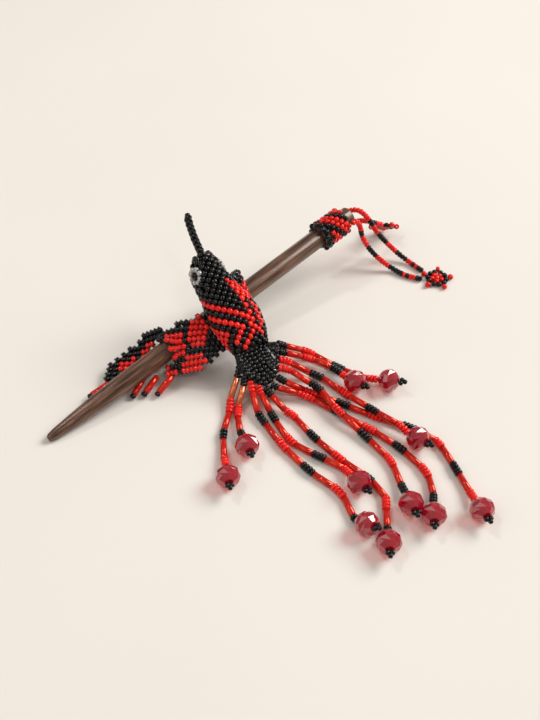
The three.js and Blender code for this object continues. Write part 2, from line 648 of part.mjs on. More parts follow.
for (const { name, centre, turn, lean } of STARS) {
  const shape = new THREE.Shape();
  for (let corner = 0; corner < STAR_POINTS * 2; corner += 1) {
    const radius = corner % 2 === 0 ? STAR_RADIUS : STAR_WAIST;
    const angle = (corner * Math.PI) / STAR_POINTS;
    const move = corner === 0 ? 'moveTo' : 'lineTo';
    shape[move](radius * Math.cos(angle), radius * Math.sin(angle));
  }
  shape.closePath();
  const geometry = new THREE.ExtrudeGeometry(shape, { depth: STAR_THICKNESS, bevelEnabled: false });
  geometry.translate(0, 0, -STAR_THICKNESS / 2);
  const star = addMesh(name, geometry, redBeads);
  star.rotation.set(rad(lean), 0, rad(turn));
  star.position.set(...centre);
}

// The middle of the box's underside is the origin
group.updateMatrixWorld(true);
const box = new THREE.Box3().setFromObject(group, true);
group.position.set(-(box.min.x + box.max.x) / 2, -(box.min.y + box.max.y) / 2, -box.min.z);
group.updateMatrixWorld(true);

export default group;
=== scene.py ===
import math
import re

import bpy
import numpy as np
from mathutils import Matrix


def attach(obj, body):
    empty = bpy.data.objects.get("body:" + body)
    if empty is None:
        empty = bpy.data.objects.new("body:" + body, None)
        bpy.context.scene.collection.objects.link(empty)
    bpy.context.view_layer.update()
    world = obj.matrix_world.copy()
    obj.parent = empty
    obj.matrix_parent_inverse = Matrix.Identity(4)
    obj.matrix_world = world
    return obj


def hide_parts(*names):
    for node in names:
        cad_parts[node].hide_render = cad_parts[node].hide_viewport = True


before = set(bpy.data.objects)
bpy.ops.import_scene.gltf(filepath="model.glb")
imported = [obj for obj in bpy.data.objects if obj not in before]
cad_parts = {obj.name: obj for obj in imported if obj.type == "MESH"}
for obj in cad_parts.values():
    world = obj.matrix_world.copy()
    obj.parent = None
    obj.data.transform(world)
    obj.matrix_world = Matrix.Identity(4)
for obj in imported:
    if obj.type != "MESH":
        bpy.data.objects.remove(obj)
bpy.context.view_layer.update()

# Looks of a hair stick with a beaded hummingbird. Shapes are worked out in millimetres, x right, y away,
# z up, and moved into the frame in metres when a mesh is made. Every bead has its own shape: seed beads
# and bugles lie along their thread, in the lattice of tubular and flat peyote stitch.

rng = np.random.default_rng(11)
MM = 0.001
SHIFT = np.array([1.564, 5.960, 0.0])

# Beads: length along the thread and diameter; spreads are shares of the size and of the way they lie
SEED_LENGTH = 1.3
SEED_DIAMETER = 2.2
TAIL_SEED_DIAMETER = 2.8
BUGLE_LENGTH = 7.3
BUGLE_DIAMETER = 2.25
STITCH_LENGTH = 1.45
STITCH_DIAMETER = 2.4
ROW_PITCH = 2.6
WING_PITCH = 2.3
WING_BEAD_DIAMETER = 2.2
STITCH_SINK = 0.85
SIZE_SPREAD = 0.025
LIE_SPREAD = 0.05
BUGLE_END_GAP = 0.12
CRYSTAL_LENGTH = 7.0
CRYSTAL_SIDES = 10
PICOT_LENGTH = 1.35
PICOT_DIAMETER = 1.7
GAP = 0.3
THREAD = 0.5

# Stick and sleeve: angles in degrees, the taper as shares of its length and of the radius
STICK_LENGTH = 138.0
STICK_RADIUS = 3.5
STICK_TIP = np.array([-72.6, -36.7, 1.38])
STICK_YAW = 41.6
STICK_PITCH = 8.45
TAPER_LENGTH = 48.0
TAPER = [(0, 0.24), (0.015, 0.4), (0.06, 0.52), (0.31, 0.77), (0.6, 0.93), (1, 1)]
SLEEVE_LENGTH = 12.6
SLEEVE_END = 3.2
SLEEVE_COLUMNS = 18
SLEEVE_ROWS = 8
SLEEVE_RADIUS = 5.6
RIM_LENGTH = 2.8
RIM_ROWS = 2
RIM_RADIUS = 5.85
RIM_OVERLAP = 0.15
BEAD_FILL = 0.94
ROD_SIDES = 48

# Bird
BEAK_BASE = np.array([-23.3, 22.1, 31.0])
TAIL_ROOT = np.array([-6.1, -5.6, 11.0])
BEAK_TIP = np.array([-28.9, 33.8, 38.6])
BODY_ROLL = 10
BODY_WIDTH = 19.0
BODY_DEPTH = 14.0
# Along, width, depth and lean to the left, all as shares
BODY_SECTIONS = np.array([
    [0, 0.2, 0.26, 0.04], [0.05, 0.4, 0.5, 0.07], [0.12, 0.55, 0.7, 0.1], [0.22, 0.66, 0.86, 0.12],
    [0.32, 0.7, 0.88, 0.1], [0.42, 0.76, 0.93, 0.07], [0.54, 0.91, 1, 0.03], [0.68, 0.99, 0.98, 0.01],
    [0.82, 0.93, 0.84, 0], [0.93, 0.8, 0.62, 0], [1, 0.7, 0.42, 0],
])
EYE_ALONG = 0.2
EYE_ANGLE = 12
EYE_RADIUS = 3.1
EYE_BEADS = 8
EYE_RING = 2.3
STICK_CLEARANCE = 0.45
FELT_INSET = 1.2
OVAL_STEPS = 180
BEAK_ROUND = 0.9
BEAK_ROPE_RADIUS = 0.66

# Wings: line as distance along the stick and height. Chords: share of the line, head edge, tail edge,
# slope towards the head and slope towards the tail
WING_LINES = {
    "left": [[66, 19.5], [59.5, 18.4], [53, 14.4], [47.5, 8], [42.5, 3.7], [36, 2.2], [28.6, 1.4]],
    "right": [[75.5, 20], [79, 22.4], [83, 22.6], [86, 18.6], [85.4, 10.5], [82, 2]],
}
WING_CHORDS = np.array([
    [0, -2.5, -15, 0.2, 0.46], [0.15, -1, -15, 0.12, 0.48], [0.33, 3, -13.5, 0.12, 0.48],
    [0.42, 7.8, -11, 0.12, 0.44], [0.52, 10.4, -8.5, 0.12, 0.38], [0.6, 11, -4.8, 0.14, 0.3],
    [0.68, 11.8, -1.5, 0.18, 0.2], [0.83, 12, 3.2, 0.16, 0.1], [1, 9.8, 6.9, 0.12, 0.1],
])
WING_REACH = {"left": (1.0, 1.0), "right": (0.4, 0.75)}
WING_REST = 1.0
WING_SLOT = 20.5
WING_CLEARANCE = 1.3
WING_STEPS = (-11, 9)
EDGE_MARGIN = 0.2
END_MARGIN = 0.6
LOOP_RADIUS = 1.0
LOOP_THREAD = 0.16
# Fringe drops: share of the wing's line, and the way each lies along, across and down
FRINGE = {
    "left": [(0.99, -1, -0.03, -0.05), (0.75, -0.9, -0.42, -0.3), (0.66, -0.97, -0.3, -0.3),
             (0.56, -0.97, -0.15, -0.35)],
    "right": [(0.97, -0.9, -0.2, -0.1), (0.85, -0.6, -0.5, -0.5), (0.77, -0.5, -0.5, -0.65),
              (0.6, -0.1, -0.3, -0.95)],
}
FRINGE_GAP = 0.5
# Red fields of the wings, as corners in millimetres along the line and across; the rest is black
WING_FIELDS = {
    "left": [
        [(5.6, -1.2), (2.4, -2.4), (3.4, -8.1), (8.2, -10.7), (12.4, -6.8), (9.5, -2.4)],
        [(16.4, 3.2), (11.3, -1.5), (13.4, -4.6), (14.6, -7.1), (23.7, -3.6), (24.5, -0.8), (19.6, 1)],
        [(14.5, -8.1), (9.7, -11.9), (11.4, -14.8), (18.6, -11.6), (20.8, -9.2), (19.5, -7.4)],
        [(27.6, 0.4), (23.7, -4.2), (21.6, -8), (24, -8.6), (29, -3.4)],
        [(27.6, 9), (22, 6.3), (24.1, 3.6), (28.6, 5.8)],
        [(38.1, 9.2), (30.6, 9), (31.5, 4.9), (37.5, 5.9)],
    ],
    "right": [[(4, -12), (4, -3.4), (9, -1), (13, 3.6), (20, 6.2), (25, 6.4), (25, -12)]],
}

# Bead strings: R and B are seed beads with their count, b is one bugle, g one with a gilt bore and a painted
# highlight, a brighter and more golden glass; then the crystal's place on the table, its tilt in degrees, and
# the route from the flap
TAIL_STRINGS = [
    ("B3 g R4 b B3 b R4", (-13.2, -53.5), 15, [
        (-10.3, -11.2, 9), (-10.9, -13.6, 7), (-13.2, -19, 3), (-13.6, -24.4, 1.4), (-15, -31, 1.2),
        (-15.2, -41, 1.4)]),
    ("B3 g R4 b B3", (-7.4, -41.2), 15, [
        (-8.6, -14.3, 7.6), (-8.7, -16.2, 6), (-10.4, -20.3, 3), (-10.6, -24.4, 1.4), (-10.6, -31, 1.6)]),
    ("R3 b B4 b R4 b B4 b R4 b B2", (29.3, -71.4), 35, [
        (-6.6, -15.8, 6.6), (-6.1, -18.2, 5.1), (-4.7, -24.7, 2.4), (-1.8, -29.7, 1.2), (4.4, -39.7, 1.2),
        (13.2, -50, 1.2), (21.8, -57.8, 1.2), (24.8, -64.5, 1.2), (25.9, -67.6, 1.4)]),
    ("R3 b B4 b R4 b B4 b R4", (27.8, -55.8), 15, [
        (-4.2, -17.1, 5.9), (-3.4, -18.8, 4.6), (-0.9, -22.9, 2.3), (0.9, -26.8, 1.2), (6.9, -37.5, 1.2),
        (17.2, -44.6, 1.2), (23, -48.2, 1.5)]),
    ("B3 b R4 b B4 b R4 b B4 b R4 b B2", (35.4, -77.7), 15, [
        (-1.7, -17.8, 5.5), (-0.5, -18.7, 4.3), (4.2, -23.9, 2), (7.5, -26.4, 1.2), (14.6, -36, 1.2),
        (23.6, -45.6, 1.2), (31.8, -53.1, 1.2), (35.8, -58.5, 1.2), (35.7, -66, 1.4)]),
    ("B2 b R5 b B4 b R4 b B4 b R4 b B4", (49.9, -67.8), 15, [
        (0.4, -16.6, 5.6), (1.8, -16.9, 4.9), (8.2, -17.8, 3.1), (13.1, -19.1, 1.9), (20, -23.3, 1.2),
        (29.7, -30.2, 1.2), (39.1, -37.3, 1.2), (49.1, -49, 1.2), (51, -56.3, 1.5)]),
    ("B3 b R4 b B4 b R4 b B4 b R3 b B4 b R4", (64.8, -66), 15, [
        (2.5, -13.9, 6.6), (4, -14.1, 5.2), (10, -15.4, 2.6), (14, -16.4, 1.2), (21.2, -19.8, 1.2),
        (30.7, -24.7, 1.2), (35.9, -27.5, 1.2), (47, -32, 1.2), (54.4, -37.5, 1.2), (59.7, -49.8, 1.2),
        (62, -56.5, 1.5)]),
    ("R4 b B4 b R4 b B4 b R4 b B4", (43.3, -63.7), 15, [
        (2.7, -10.9, 7.7), (6, -10.6, 6.7), (12.5, -14.4, 5), (16.8, -17.2, 4), (21.3, -24.1, 3.6),
        (24.3, -28.2, 3.2), (31.4, -36, 1.7), (38.6, -45.4, 1.2), (40.6, -52.8, 1.5)]),
    ("R4 b B4 b R4 b B4 b R4", (48, -38.3), 15, [
        (2.9, -7.9, 8.6), (5.8, -7, 7), (13, -8.6, 3.2), (17.3, -9.3, 1.4), (27.2, -18.6, 1.7),
        (33.2, -24.6, 3), (36.8, -28.2, 3.6), (42.8, -33, 3.7)]),
    ("B3 b R4 b B4 R2", (29, -13.5), 15, [
        (2.9, -5.1, 9.6), (5.4, -3.9, 7.8), (12.1, -2.6, 4.2), (15.8, -2.6, 2.6), (22.3, -6.6, 2.7)]),
    ("B3 b R4 b B4 b R4", (40.6, -13.1), 15, [
        (2.5, -2.1, 10.6), (5.2, -1, 8.3), (12.1, 1.1, 3.7), (15.7, 0.9, 1.6), (22.5, -3.9, 1.2),
        (32, -9.7, 1.6)]),
]
# Tassel strings: beads, degrees round the stick where each leaves the sleeve, and its route
TASSEL_STRINGS = [
    ("R7 B2 R4 B4 R5 B5 R1 B1 R2 B2", 10, [
        (33.6, 51.6, 18.6), (35.2, 51.6, 12.6), (38.5, 49.6, 8), (42.5, 48, 4.5), (47.2, 46.4, 1.6),
        (51.6, 43.4, 1.1), (57.9, 41.1, 1.1)]),
    ("R12 B2 R3 B4 R4 B4 R2 B1 R1 B2", 215, [
        (27.9, 58.2, 19.4), (33, 58, 20.9), (36, 57.5, 18.8), (38, 56.8, 16.5), (40.9, 55.8, 12),
        (45.5, 54.6, 7), (49.6, 53.2, 3.5), (53.4, 51, 1.5), (57.4, 47, 1.1), (58.5, 45.8, 1.1)]),
    ("R11 B2 R4", 262, [(31.6, 55.4, 17.2), (36.3, 58.6, 15.2), (40.6, 61.4, 11.8), (43.7, 64.1, 8.7)]),
]
# Stars: name, middle, turn and lean in degrees
STARS = [("star_flat", (63.6, 41.7, 1), 8, 0), ("star_leaning", (45, 67.2, 5.42), 12, -47)]

FLAP_LOWEST_STRING = 5
FLAP_ROWS = 9
FLAP_PITCH = 1.9
FLAP_BEAD_LENGTH = 1.7
FLAP_LIFT = (-0.1, 0.7)


def unit(vectors):
    """Vectors of length one."""
    return vectors / np.linalg.norm(vectors, axis=-1, keepdims=True)


def turned(vector, axis, degrees):
    """A vector turned about a unit axis: the part along it stays, the rest turns."""
    angle = math.radians(degrees)
    return (vector * math.cos(angle) + np.cross(axis, vector) * math.sin(angle)
            + axis * np.dot(axis, vector) * (1 - math.cos(angle)))


def across(direction):
    """Level direction (y, -x, 0) to the right of a run, and the one square to both."""
    right = unit(np.stack([direction[..., 1], -direction[..., 0], 0 * direction[..., 0]], -1))
    return right, np.cross(right, direction)


yaw, pitch = math.radians(STICK_YAW), math.radians(STICK_PITCH)
STICK = np.array([math.cos(yaw) * math.cos(pitch), math.sin(yaw) * math.cos(pitch), math.sin(pitch)])
PLAN_ALONG = np.array([math.cos(yaw), math.sin(yaw), 0.0])
PLAN_ACROSS = np.array([-PLAN_ALONG[1], PLAN_ALONG[0], 0.0])
STICK_RIGHT, STICK_UP = across(STICK)
BODY = unit(TAIL_ROOT - BEAK_BASE)
BODY_LENGTH = float(np.linalg.norm(TAIL_ROOT - BEAK_BASE))
BIRD_LEFT, BIRD_UP = (turned(v, BODY, -BODY_ROLL) for v in across(BODY))
UP = np.array([0, 0, 1.0])


# Meshes

def ring_faces(rings, sides, closed):
    """Quads between neighbouring rings of points, and from the last ring to the first when closed."""
    here = np.arange(rings if closed else rings - 1)[:, None] * sides
    there = (here + sides) % (rings * sides)
    side = np.arange(sides)
    turn = (side + 1) % sides
    return np.stack([here + side, there + side, there + turn, here + turn], -1).reshape(-1, 4)


def lathe(profile, sides, closed=True):
    """Surface of revolution about x: each (x, radius) makes a ring x, radius·cos t, radius·sin t. An open
    one is shut at both ends by rings of no size."""
    profile = np.array(profile, float)
    if not closed:
        profile = np.concatenate([[[profile[0, 0], 1e-5]], profile, [[profile[-1, 0], 1e-5]]])
    turns = np.arange(sides) * 2 * math.pi / sides
    verts = np.stack([np.repeat(profile[:, :1], sides, 1), profile[:, 1:] * np.cos(turns),
                      profile[:, 1:] * np.sin(turns)], -1).reshape(-1, 3)
    faces = ring_faces(len(profile), sides, closed)
    if closed:
        return verts, faces
    last = len(verts) - sides
    ends = np.array([(0, k + 1, k + 2, k + 3) for k in range(0, sides - 2, 2)])
    ends[-1, -1] %= sides
    return verts, np.concatenate([faces, ends, last + ends[:, ::-1]])


# Unit beads, one long and one across, with the hole along x
SEED = lathe([(-0.42, 0.17), (-0.5, 0.3), (-0.36, 0.45), (0, 0.5), (0.36, 0.45), (0.5, 0.3),
              (0.42, 0.17)], 10)
BUGLE = lathe([(-0.49, 0.28), (-0.5, 0.42), (-0.485, 0.5), (0.485, 0.5), (0.5, 0.42), (0.49, 0.28)], 16)
LINING = lathe([(-0.48, 0.26), (0.48, 0.26)], 12, False)
PLATE = (np.array([(x, y, z) for x in (-0.5, 0.5) for y in (-0.5, 0.5) for z in (-0.5, 0.5)]),
         np.array([(0, 1, 3, 2), (4, 6, 7, 5), (0, 4, 5, 1), (2, 3, 7, 6), (0, 2, 6, 4), (1, 5, 7, 3)]))


def add_object(name, data):
    """Object of a mesh, lamp or camera at the origin of the scene."""
    obj = bpy.data.objects.new(name, data)
    bpy.context.scene.collection.objects.link(obj)
    return obj


class Piece:
    """Mesh being gathered: points in millimetres, quads with a material number, and a tone for each point."""

    def __init__(self):
        """An empty piece."""
        self.points, self.faces, self.slots, self.tones, self.count = [], [], [], [], 0

    def add(self, verts, faces, slots, tones=0.5):
        """Points and quads; material numbers and tones are one value or one for each."""
        self.points.append(verts)
        self.faces.append(faces + self.count)
        self.slots.append(np.broadcast_to(slots, len(faces)))
        self.tones.append(np.broadcast_to(tones, len(verts)))
        self.count += len(verts)

    def place(self, template, centre, hole, outward, length, width, height, slots):
        """Copies of a unit shape: a point (x, y, z) goes to centre + x·length along the hole + y·width
        sideways + z·height towards the outward side."""
        centre = np.atleast_2d(centre)
        count = len(centre)
        hole = unit(np.broadcast_to(hole, centre.shape))
        side = unit(np.cross(np.broadcast_to(outward, centre.shape), hole))
        sizes = [np.broadcast_to(size, count)[:, None] for size in (length, width, height)]
        axes = np.stack([hole * sizes[0], side * sizes[1], np.cross(hole, side) * sizes[2]], 1)
        verts, faces = template
        placed = centre[:, None] + verts @ axes
        shifted = faces + (np.arange(count) * len(verts))[:, None, None]
        self.add(placed.reshape(-1, 3), shifted.reshape(-1, 4),
                 np.repeat(np.broadcast_to(slots, count), len(faces)),
                 np.repeat(rng.random(count), len(verts)))

    def seeds(self, centre, hole, outward, length=SEED_LENGTH, diameter=SEED_DIAMETER, red=False,
              slots=None):
        """Seed beads, a little uneven in size and lie as glass seed beads are."""
        centre = np.atleast_2d(centre)
        count = len(centre)
        size = 1 + rng.normal(0, SIZE_SPREAD, count)
        lie = unit(np.broadcast_to(hole, centre.shape)) + rng.normal(0, LIE_SPREAD, (count, 3))
        if slots is None:
            slots = np.where(red, RED_BEAD, BLACK_BEAD)
        self.place(SEED, centre, lie, outward, length * size, diameter * size, diameter * size, slots)

    def thread_and_shade_backing(self, centre, hole, outward, length, width, depth=0.5):
        """Thread packed behind a bead, and painted shade in the gaps between beads: a thin dark plate under
        its middle.
        """
        self.place(PLATE, centre, hole, outward, length, width, depth, THREAD_SLOT)

    def bugles(self, start, end, gilt_painted_highlight=False):
        """Bugle beads: clear red tubes round a silvered bore, or round a gilt bore in a brighter, more golden
        glass that is a painted highlight.
        """
        start, end = np.atleast_2d(start), np.atleast_2d(end)
        hole, length = unit(end - start), np.linalg.norm(end - start, axis=1) - BUGLE_END_GAP
        side = across(hole)[1]
        glass = np.where(gilt_painted_highlight, GILT_PAINTED_HIGHLIGHT_BUGLE, BUGLE_GLASS)
        for template, slot in ((BUGLE, glass), (LINING, BUGLE_LINING)):
            self.place(template, (start + end) / 2, hole, side, length, BUGLE_DIAMETER, BUGLE_DIAMETER,
                       slot)

    def tube(self, path, radius, slot, sides=8):
        """Tube of one radius along a row of points, with a ring of no size at each end."""
        path = np.asarray(path, float)
        path = np.concatenate([path[:1], path, path[-1:]])
        right, up = across(unit(np.gradient(path[1:-1], axis=0)))
        right, up = (np.concatenate([v[:1], v, v[-1:]]) for v in (right, up))
        size = np.full(len(path), float(radius))
        size[[0, -1]] = 1e-4
        turns = np.arange(sides)[:, None] * 2 * math.pi / sides
        rings = path[:, None] + size[:, None, None] * (right[:, None] * np.cos(turns)
                                                       - up[:, None] * np.sin(turns))
        self.add(rings.reshape(-1, 3), ring_faces(len(path), sides, False), slot)

    def finish(self, name, body, nodes, materials=None):
        """The Blender object, of bead materials unless told: it rides on a body and stands for its CAD
        nodes."""
        mesh = bpy.data.meshes.new(name)
        points = (np.concatenate(self.points) + SHIFT) * MM
        mesh.from_pydata(points.tolist(), [], np.concatenate(self.faces).tolist())
        for material in materials or MATERIALS:
            mesh.materials.append(material)
        mesh.polygons.foreach_set("material_index", np.concatenate(self.slots).astype(np.int32))
        mesh.polygons.foreach_set("use_smooth", np.ones(len(mesh.polygons), bool))
        tone = mesh.attributes.new("tone", "FLOAT", "POINT")
        tone.data.foreach_set("value", np.concatenate(self.tones).astype(np.float32))
        mesh.update()
        obj = add_object(name, mesh)
        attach(obj, body)
        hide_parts(*nodes)


# Materials

def node_group(name, inputs, outputs):
    """Empty node group with named sockets, and its two ends."""
    group = bpy.data.node_groups.new(name, "ShaderNodeTree")
    for label, kind in inputs:
        group.interface.new_socket(name=label, in_out="INPUT", socket_type=kind)
    for label, kind in outputs:
        group.interface.new_socket(name=label, in_out="OUTPUT", socket_type=kind)
    return group, group.nodes.new("NodeGroupInput"), group.nodes.new("NodeGroupOutput")


def mix_colour(tree, blend, factor, a, b):
    """Colour mix node; each of the three is a socket or a value."""
    node = tree.nodes.new("ShaderNodeMix")
    node.data_type = "RGBA"
    node.blend_type = blend
    for index, value in ((0, factor), (6, a), (7, b)):
        if isinstance(value, bpy.types.NodeSocket):
            tree.links.new(value, node.inputs[index])
        else:
            node.inputs[index].default_value = value
    return node.outputs[2]


def noise(tree, vector, scale, detail=3.0):
    """Noise value over a vector socket."""
    node = tree.nodes.new("ShaderNodeTexNoise")
    node.inputs["Scale"].default_value = scale
    node.inputs["Detail"].default_value = detail
    tree.links.new(vector, node.inputs["Vector"])
    return node.outputs["Fac"]


def ramp(tree, value, stops):
    """Colour ramp over a value socket; stops are (place, colour)."""
    node = tree.nodes.new("ShaderNodeValToRGB")
    tree.links.new(value, node.inputs["Fac"])
    elements = node.color_ramp.elements
    while len(elements) < len(stops):
        elements.new(0.5)
    for element, (place, colour) in zip(elements, stops):
        element.position = place
        element.color = (*colour, 1)
    return node.outputs["Color"]


def mapping(tree, vector, key, value):
    """Coordinates turned or stretched."""
    node = tree.nodes.new("ShaderNodeMapping")
    node.inputs[key].default_value = value
    tree.links.new(vector, node.inputs["Vector"])
    return node.outputs[0]


def add_bump(tree, shader, height, strength, distance):
    """Bump from a height socket on the shader's normal."""
    node = tree.nodes.new("ShaderNodeBump")
    node.inputs["Strength"].default_value = strength
    node.inputs["Distance"].default_value = distance
    tree.links.new(height, node.inputs["Height"])
    tree.links.new(node.outputs["Normal"], shader.inputs["Normal"])


def glass_tone_group():
    """Colour that changes from bead to bead, with faint clouds in the glass."""
    group, ends, out = node_group("glass_tone", [("Deep", "NodeSocketColor"), ("Pale", "NodeSocketColor")],
                                  [("Color", "NodeSocketColor"), ("Cloud", "NodeSocketFloat")])
    tone = group.nodes.new("ShaderNodeAttribute")
    tone.attribute_name = "tone"
    place = group.nodes.new("ShaderNodeTexCoord")
    cloud = noise(group, place.outputs["Object"], 900)
    less, both = (group.nodes.new("ShaderNodeMath") for _ in range(2))
    less.operation, both.operation = "MULTIPLY", "MULTIPLY_ADD"
    less.inputs[1].default_value, both.inputs[1].default_value = 0.4, 0.6
    group.links.new(cloud, less.inputs[0])
    group.links.new(tone.outputs["Fac"], both.inputs[0])
    group.links.new(less.outputs[0], both.inputs[2])
    colour = mix_colour(group, "MIX", both.outputs[0], ends.outputs["Deep"], ends.outputs["Pale"])
    group.links.new(colour, out.inputs["Color"])
    group.links.new(cloud, out.inputs["Cloud"])
    return group


GLASS_TONE = glass_tone_group()


def new_material(name):
    """Node material, its tree and its principled shader."""
    material = bpy.data.materials.new(name)
    material.use_nodes = True
    tree = material.node_tree
    shader = next(n for n in tree.nodes if n.type == "BSDF_PRINCIPLED")
    return material, tree, shader


def set_inputs(shader, values):
    """Plain values put on a shader's own sockets."""
    for key, value in values.items():
        shader.inputs[key].default_value = value


def bead_material(name, deep, pale, **values):
    """Bead glass: a colour from bead to bead and a gloss coat."""
    material, tree, shader = new_material(name)
    tone = tree.nodes.new("ShaderNodeGroup")
    tone.node_tree = GLASS_TONE
    tone.inputs["Deep"].default_value = (*deep, 1)
    tone.inputs["Pale"].default_value = (*pale, 1)
    tree.links.new(tone.outputs["Color"], shader.inputs["Base Color"])
    add_bump(tree, shader, tone.outputs["Cloud"], 0.08, 0.0002)
    set_inputs(shader, values)
    return material


def let_light_through(material, colour, share):
    """Shadow rays pass a clear piece, tinted and weakened, so its shadow glows in its colour."""
    tree = material.node_tree
    output = next(n for n in tree.nodes if n.type == "OUTPUT_MATERIAL")
    shader = next(n for n in tree.nodes if n.type == "BSDF_PRINCIPLED")
    path = tree.nodes.new("ShaderNodeLightPath")
    clear = tree.nodes.new("ShaderNodeBsdfTransparent")
    clear.inputs["Color"].default_value = (*(c * share for c in colour), 1)
    mixed = tree.nodes.new("ShaderNodeMixShader")
    tree.links.new(path.outputs["Is Shadow Ray"], mixed.inputs[0])
    tree.links.new(shader.outputs[0], mixed.inputs[1])
    tree.links.new(clear.outputs[0], mixed.inputs[2])
    tree.links.new(mixed.outputs[0], output.inputs["Surface"])


red_bead = bead_material("red_seed_glass", (0.62, 0.006, 0.005), (0.95, 0.024, 0.016), **{
    "Roughness": 0.12, "Coat Weight": 0.15, "Coat Roughness": 0.05, "Specular IOR Level": 0.3})
black_bead = bead_material("black_seed_glass", (0.001, 0.001, 0.0012), (0.004, 0.0035, 0.004), **{
    "Roughness": 0.06, "Specular IOR Level": 0.36})
white_bead = bead_material("pearl_seed_glass", (0.3, 0.295, 0.29), (0.5, 0.49, 0.48), **{
    "Roughness": 0.22, "Coat Weight": 0.6, "Coat Roughness": 0.08, "Sheen Weight": 0.2})
bugle_glass = bead_material("red_bugle_glass", (0.46, 0.005, 0.004), (0.72, 0.018, 0.01), **{
    "Metallic": 0.2, "Roughness": 0.12, "Coat Weight": 0.3, "Coat Roughness": 0.05,
    "Specular IOR Level": 0.6, "Specular Tint": (1.0, 0.6, 0.3, 1)})
# Gilt bugles: a gilt bore, and a brighter, more golden glass that is a painted highlight for the light these
# bugles catch.
gilt_painted_highlight_bugle = bead_material("gilt_bugle_highlight_glass", (0.6, 0.06, 0.02), (0.85, 0.32, 0.12), **{
    "Metallic": 0.6, "Roughness": 0.22, "Coat Weight": 0.5, "Coat Roughness": 0.05})
bugle_lining = bead_material("silvered_bore", (0.5, 0.1, 0.05), (0.7, 0.3, 0.16), **{
    "Metallic": 1.0, "Roughness": 0.3})
ruby = bead_material("ruby_lustre_glass", (0.42, 0.003, 0.02), (0.6, 0.006, 0.036), **{
    "Roughness": 0.1, "Transmission Weight": 0.4, "IOR": 1.6, "Specular IOR Level": 0.8,
    "Sheen Weight": 0.08, "Sheen Roughness": 0.25, "Sheen Tint": (0.75, 0.68, 0.8, 1),
    "Coat Weight": 0.8, "Coat IOR": 1.6, "Coat Roughness": 0.08})
thread = bead_material("beading_thread", (0.006, 0.005, 0.005), (0.014, 0.012, 0.012), **{
    "Roughness": 0.7, "Sheen Weight": 0.2})
clear_thread = bead_material("clear_thread", (0.6, 0.6, 0.58), (0.85, 0.85, 0.82), **{
    "Roughness": 0.15, "Transmission Weight": 0.5, "Coat Weight": 1.0})
felt = bead_material("dark_felt_lining", (0.006, 0.005, 0.005), (0.012, 0.01, 0.01), **{
    "Roughness": 0.95, "Sheen Weight": 0.2})

let_light_through(ruby, (1.0, 0.22, 0.18), 0.5)
let_light_through(red_bead, (1.0, 0.3, 0.2), 0.3)
let_light_through(bugle_glass, (1.0, 0.28, 0.18), 0.45)

MATERIALS = [red_bead, black_bead, white_bead, bugle_glass, bugle_lining, thread, felt, clear_thread,
             gilt_painted_highlight_bugle]
(RED_BEAD, BLACK_BEAD, WHITE_BEAD, BUGLE_GLASS, BUGLE_LINING, THREAD_SLOT, FELT,
 CLEAR_THREAD, GILT_PAINTED_HIGHLIGHT_BUGLE) = range(len(MATERIALS))


def wood_material():
    """Dark brown wood: long streaks along the stick, pores, and a satin varnish."""
    material, tree, shader = new_material("dark_wood")
    place = tree.nodes.new("ShaderNodeTexCoord")
    turned_level = mapping(tree, place.outputs["Object"], "Rotation", (0, 0, -yaw))
    along_stick = mapping(tree, turned_level, "Rotation", (0, pitch, 0))
    streaks = mapping(tree, along_stick, "Scale", (0.06, 1, 1))
    grain = noise(tree, streaks, 1400, 5)
    broad = noise(tree, streaks, 500, 2)
    fine = ramp(tree, grain, [(0.34, (0.03, 0.012, 0.006)), (0.5, (0.1, 0.042, 0.024)),
                              (0.66, (0.2, 0.095, 0.058))])
    base = ramp(tree, broad, [(0.35, (0.62, 0.56, 0.52)), (0.65, (1, 1, 1))])
    colour = mix_colour(tree, "MULTIPLY", 0.7, fine, base)
    tree.links.new(colour, shader.inputs["Base Color"])
    rough = tree.nodes.new("ShaderNodeMapRange")
    rough.inputs["To Min"].default_value = 0.42
    rough.inputs["To Max"].default_value = 0.28
    tree.links.new(grain, rough.inputs["Value"])
    tree.links.new(rough.outputs[0], shader.inputs["Roughness"])
    add_bump(tree, shader, grain, 0.25, 0.0003)
    set_inputs(shader, {"Coat Weight": 0.4, "Coat Roughness": 0.22, "Specular Tint": (1.0, 0.85, 0.7, 1)})
    return material


# Stick: a turned rod with a softened blunt end
def on_stick(verts):
    """Points given along, right and up of the stick, moved to where it lies."""
    return STICK_TIP + verts[:, :1] * STICK - verts[:, 1:2] * STICK_RIGHT + verts[:, 2:3] * STICK_UP


stick = Piece()
taper = np.array(TAPER) * (TAPER_LENGTH, STICK_RADIUS)
rod_along = np.concatenate([np.linspace(0, 1.5, 6)[:-1], np.linspace(1.5, TAPER_LENGTH, 24)])
rod = [*zip(rod_along, np.interp(rod_along, *taper.T)), (STICK_LENGTH - 0.5, STICK_RADIUS),
       (STICK_LENGTH - 0.15, STICK_RADIUS - 0.15), (STICK_LENGTH, STICK_RADIUS - 0.5)]
rod_verts, rod_faces = lathe(rod, ROD_SIDES, False)
stick.add(on_stick(rod_verts), rod_faces, 0)
stick.finish("stick_wood", "stick", ["stick"], [wood_material()])


def stick_frame(distance, degrees):
    """Points on the stick's axis, and the outward directions right·cos + up·sin."""
    angle = np.radians(degrees)[..., None]
    return (STICK_TIP + STICK * np.asarray(distance, float)[..., None],
            STICK_RIGHT * np.cos(angle) + STICK_UP * np.sin(angle))


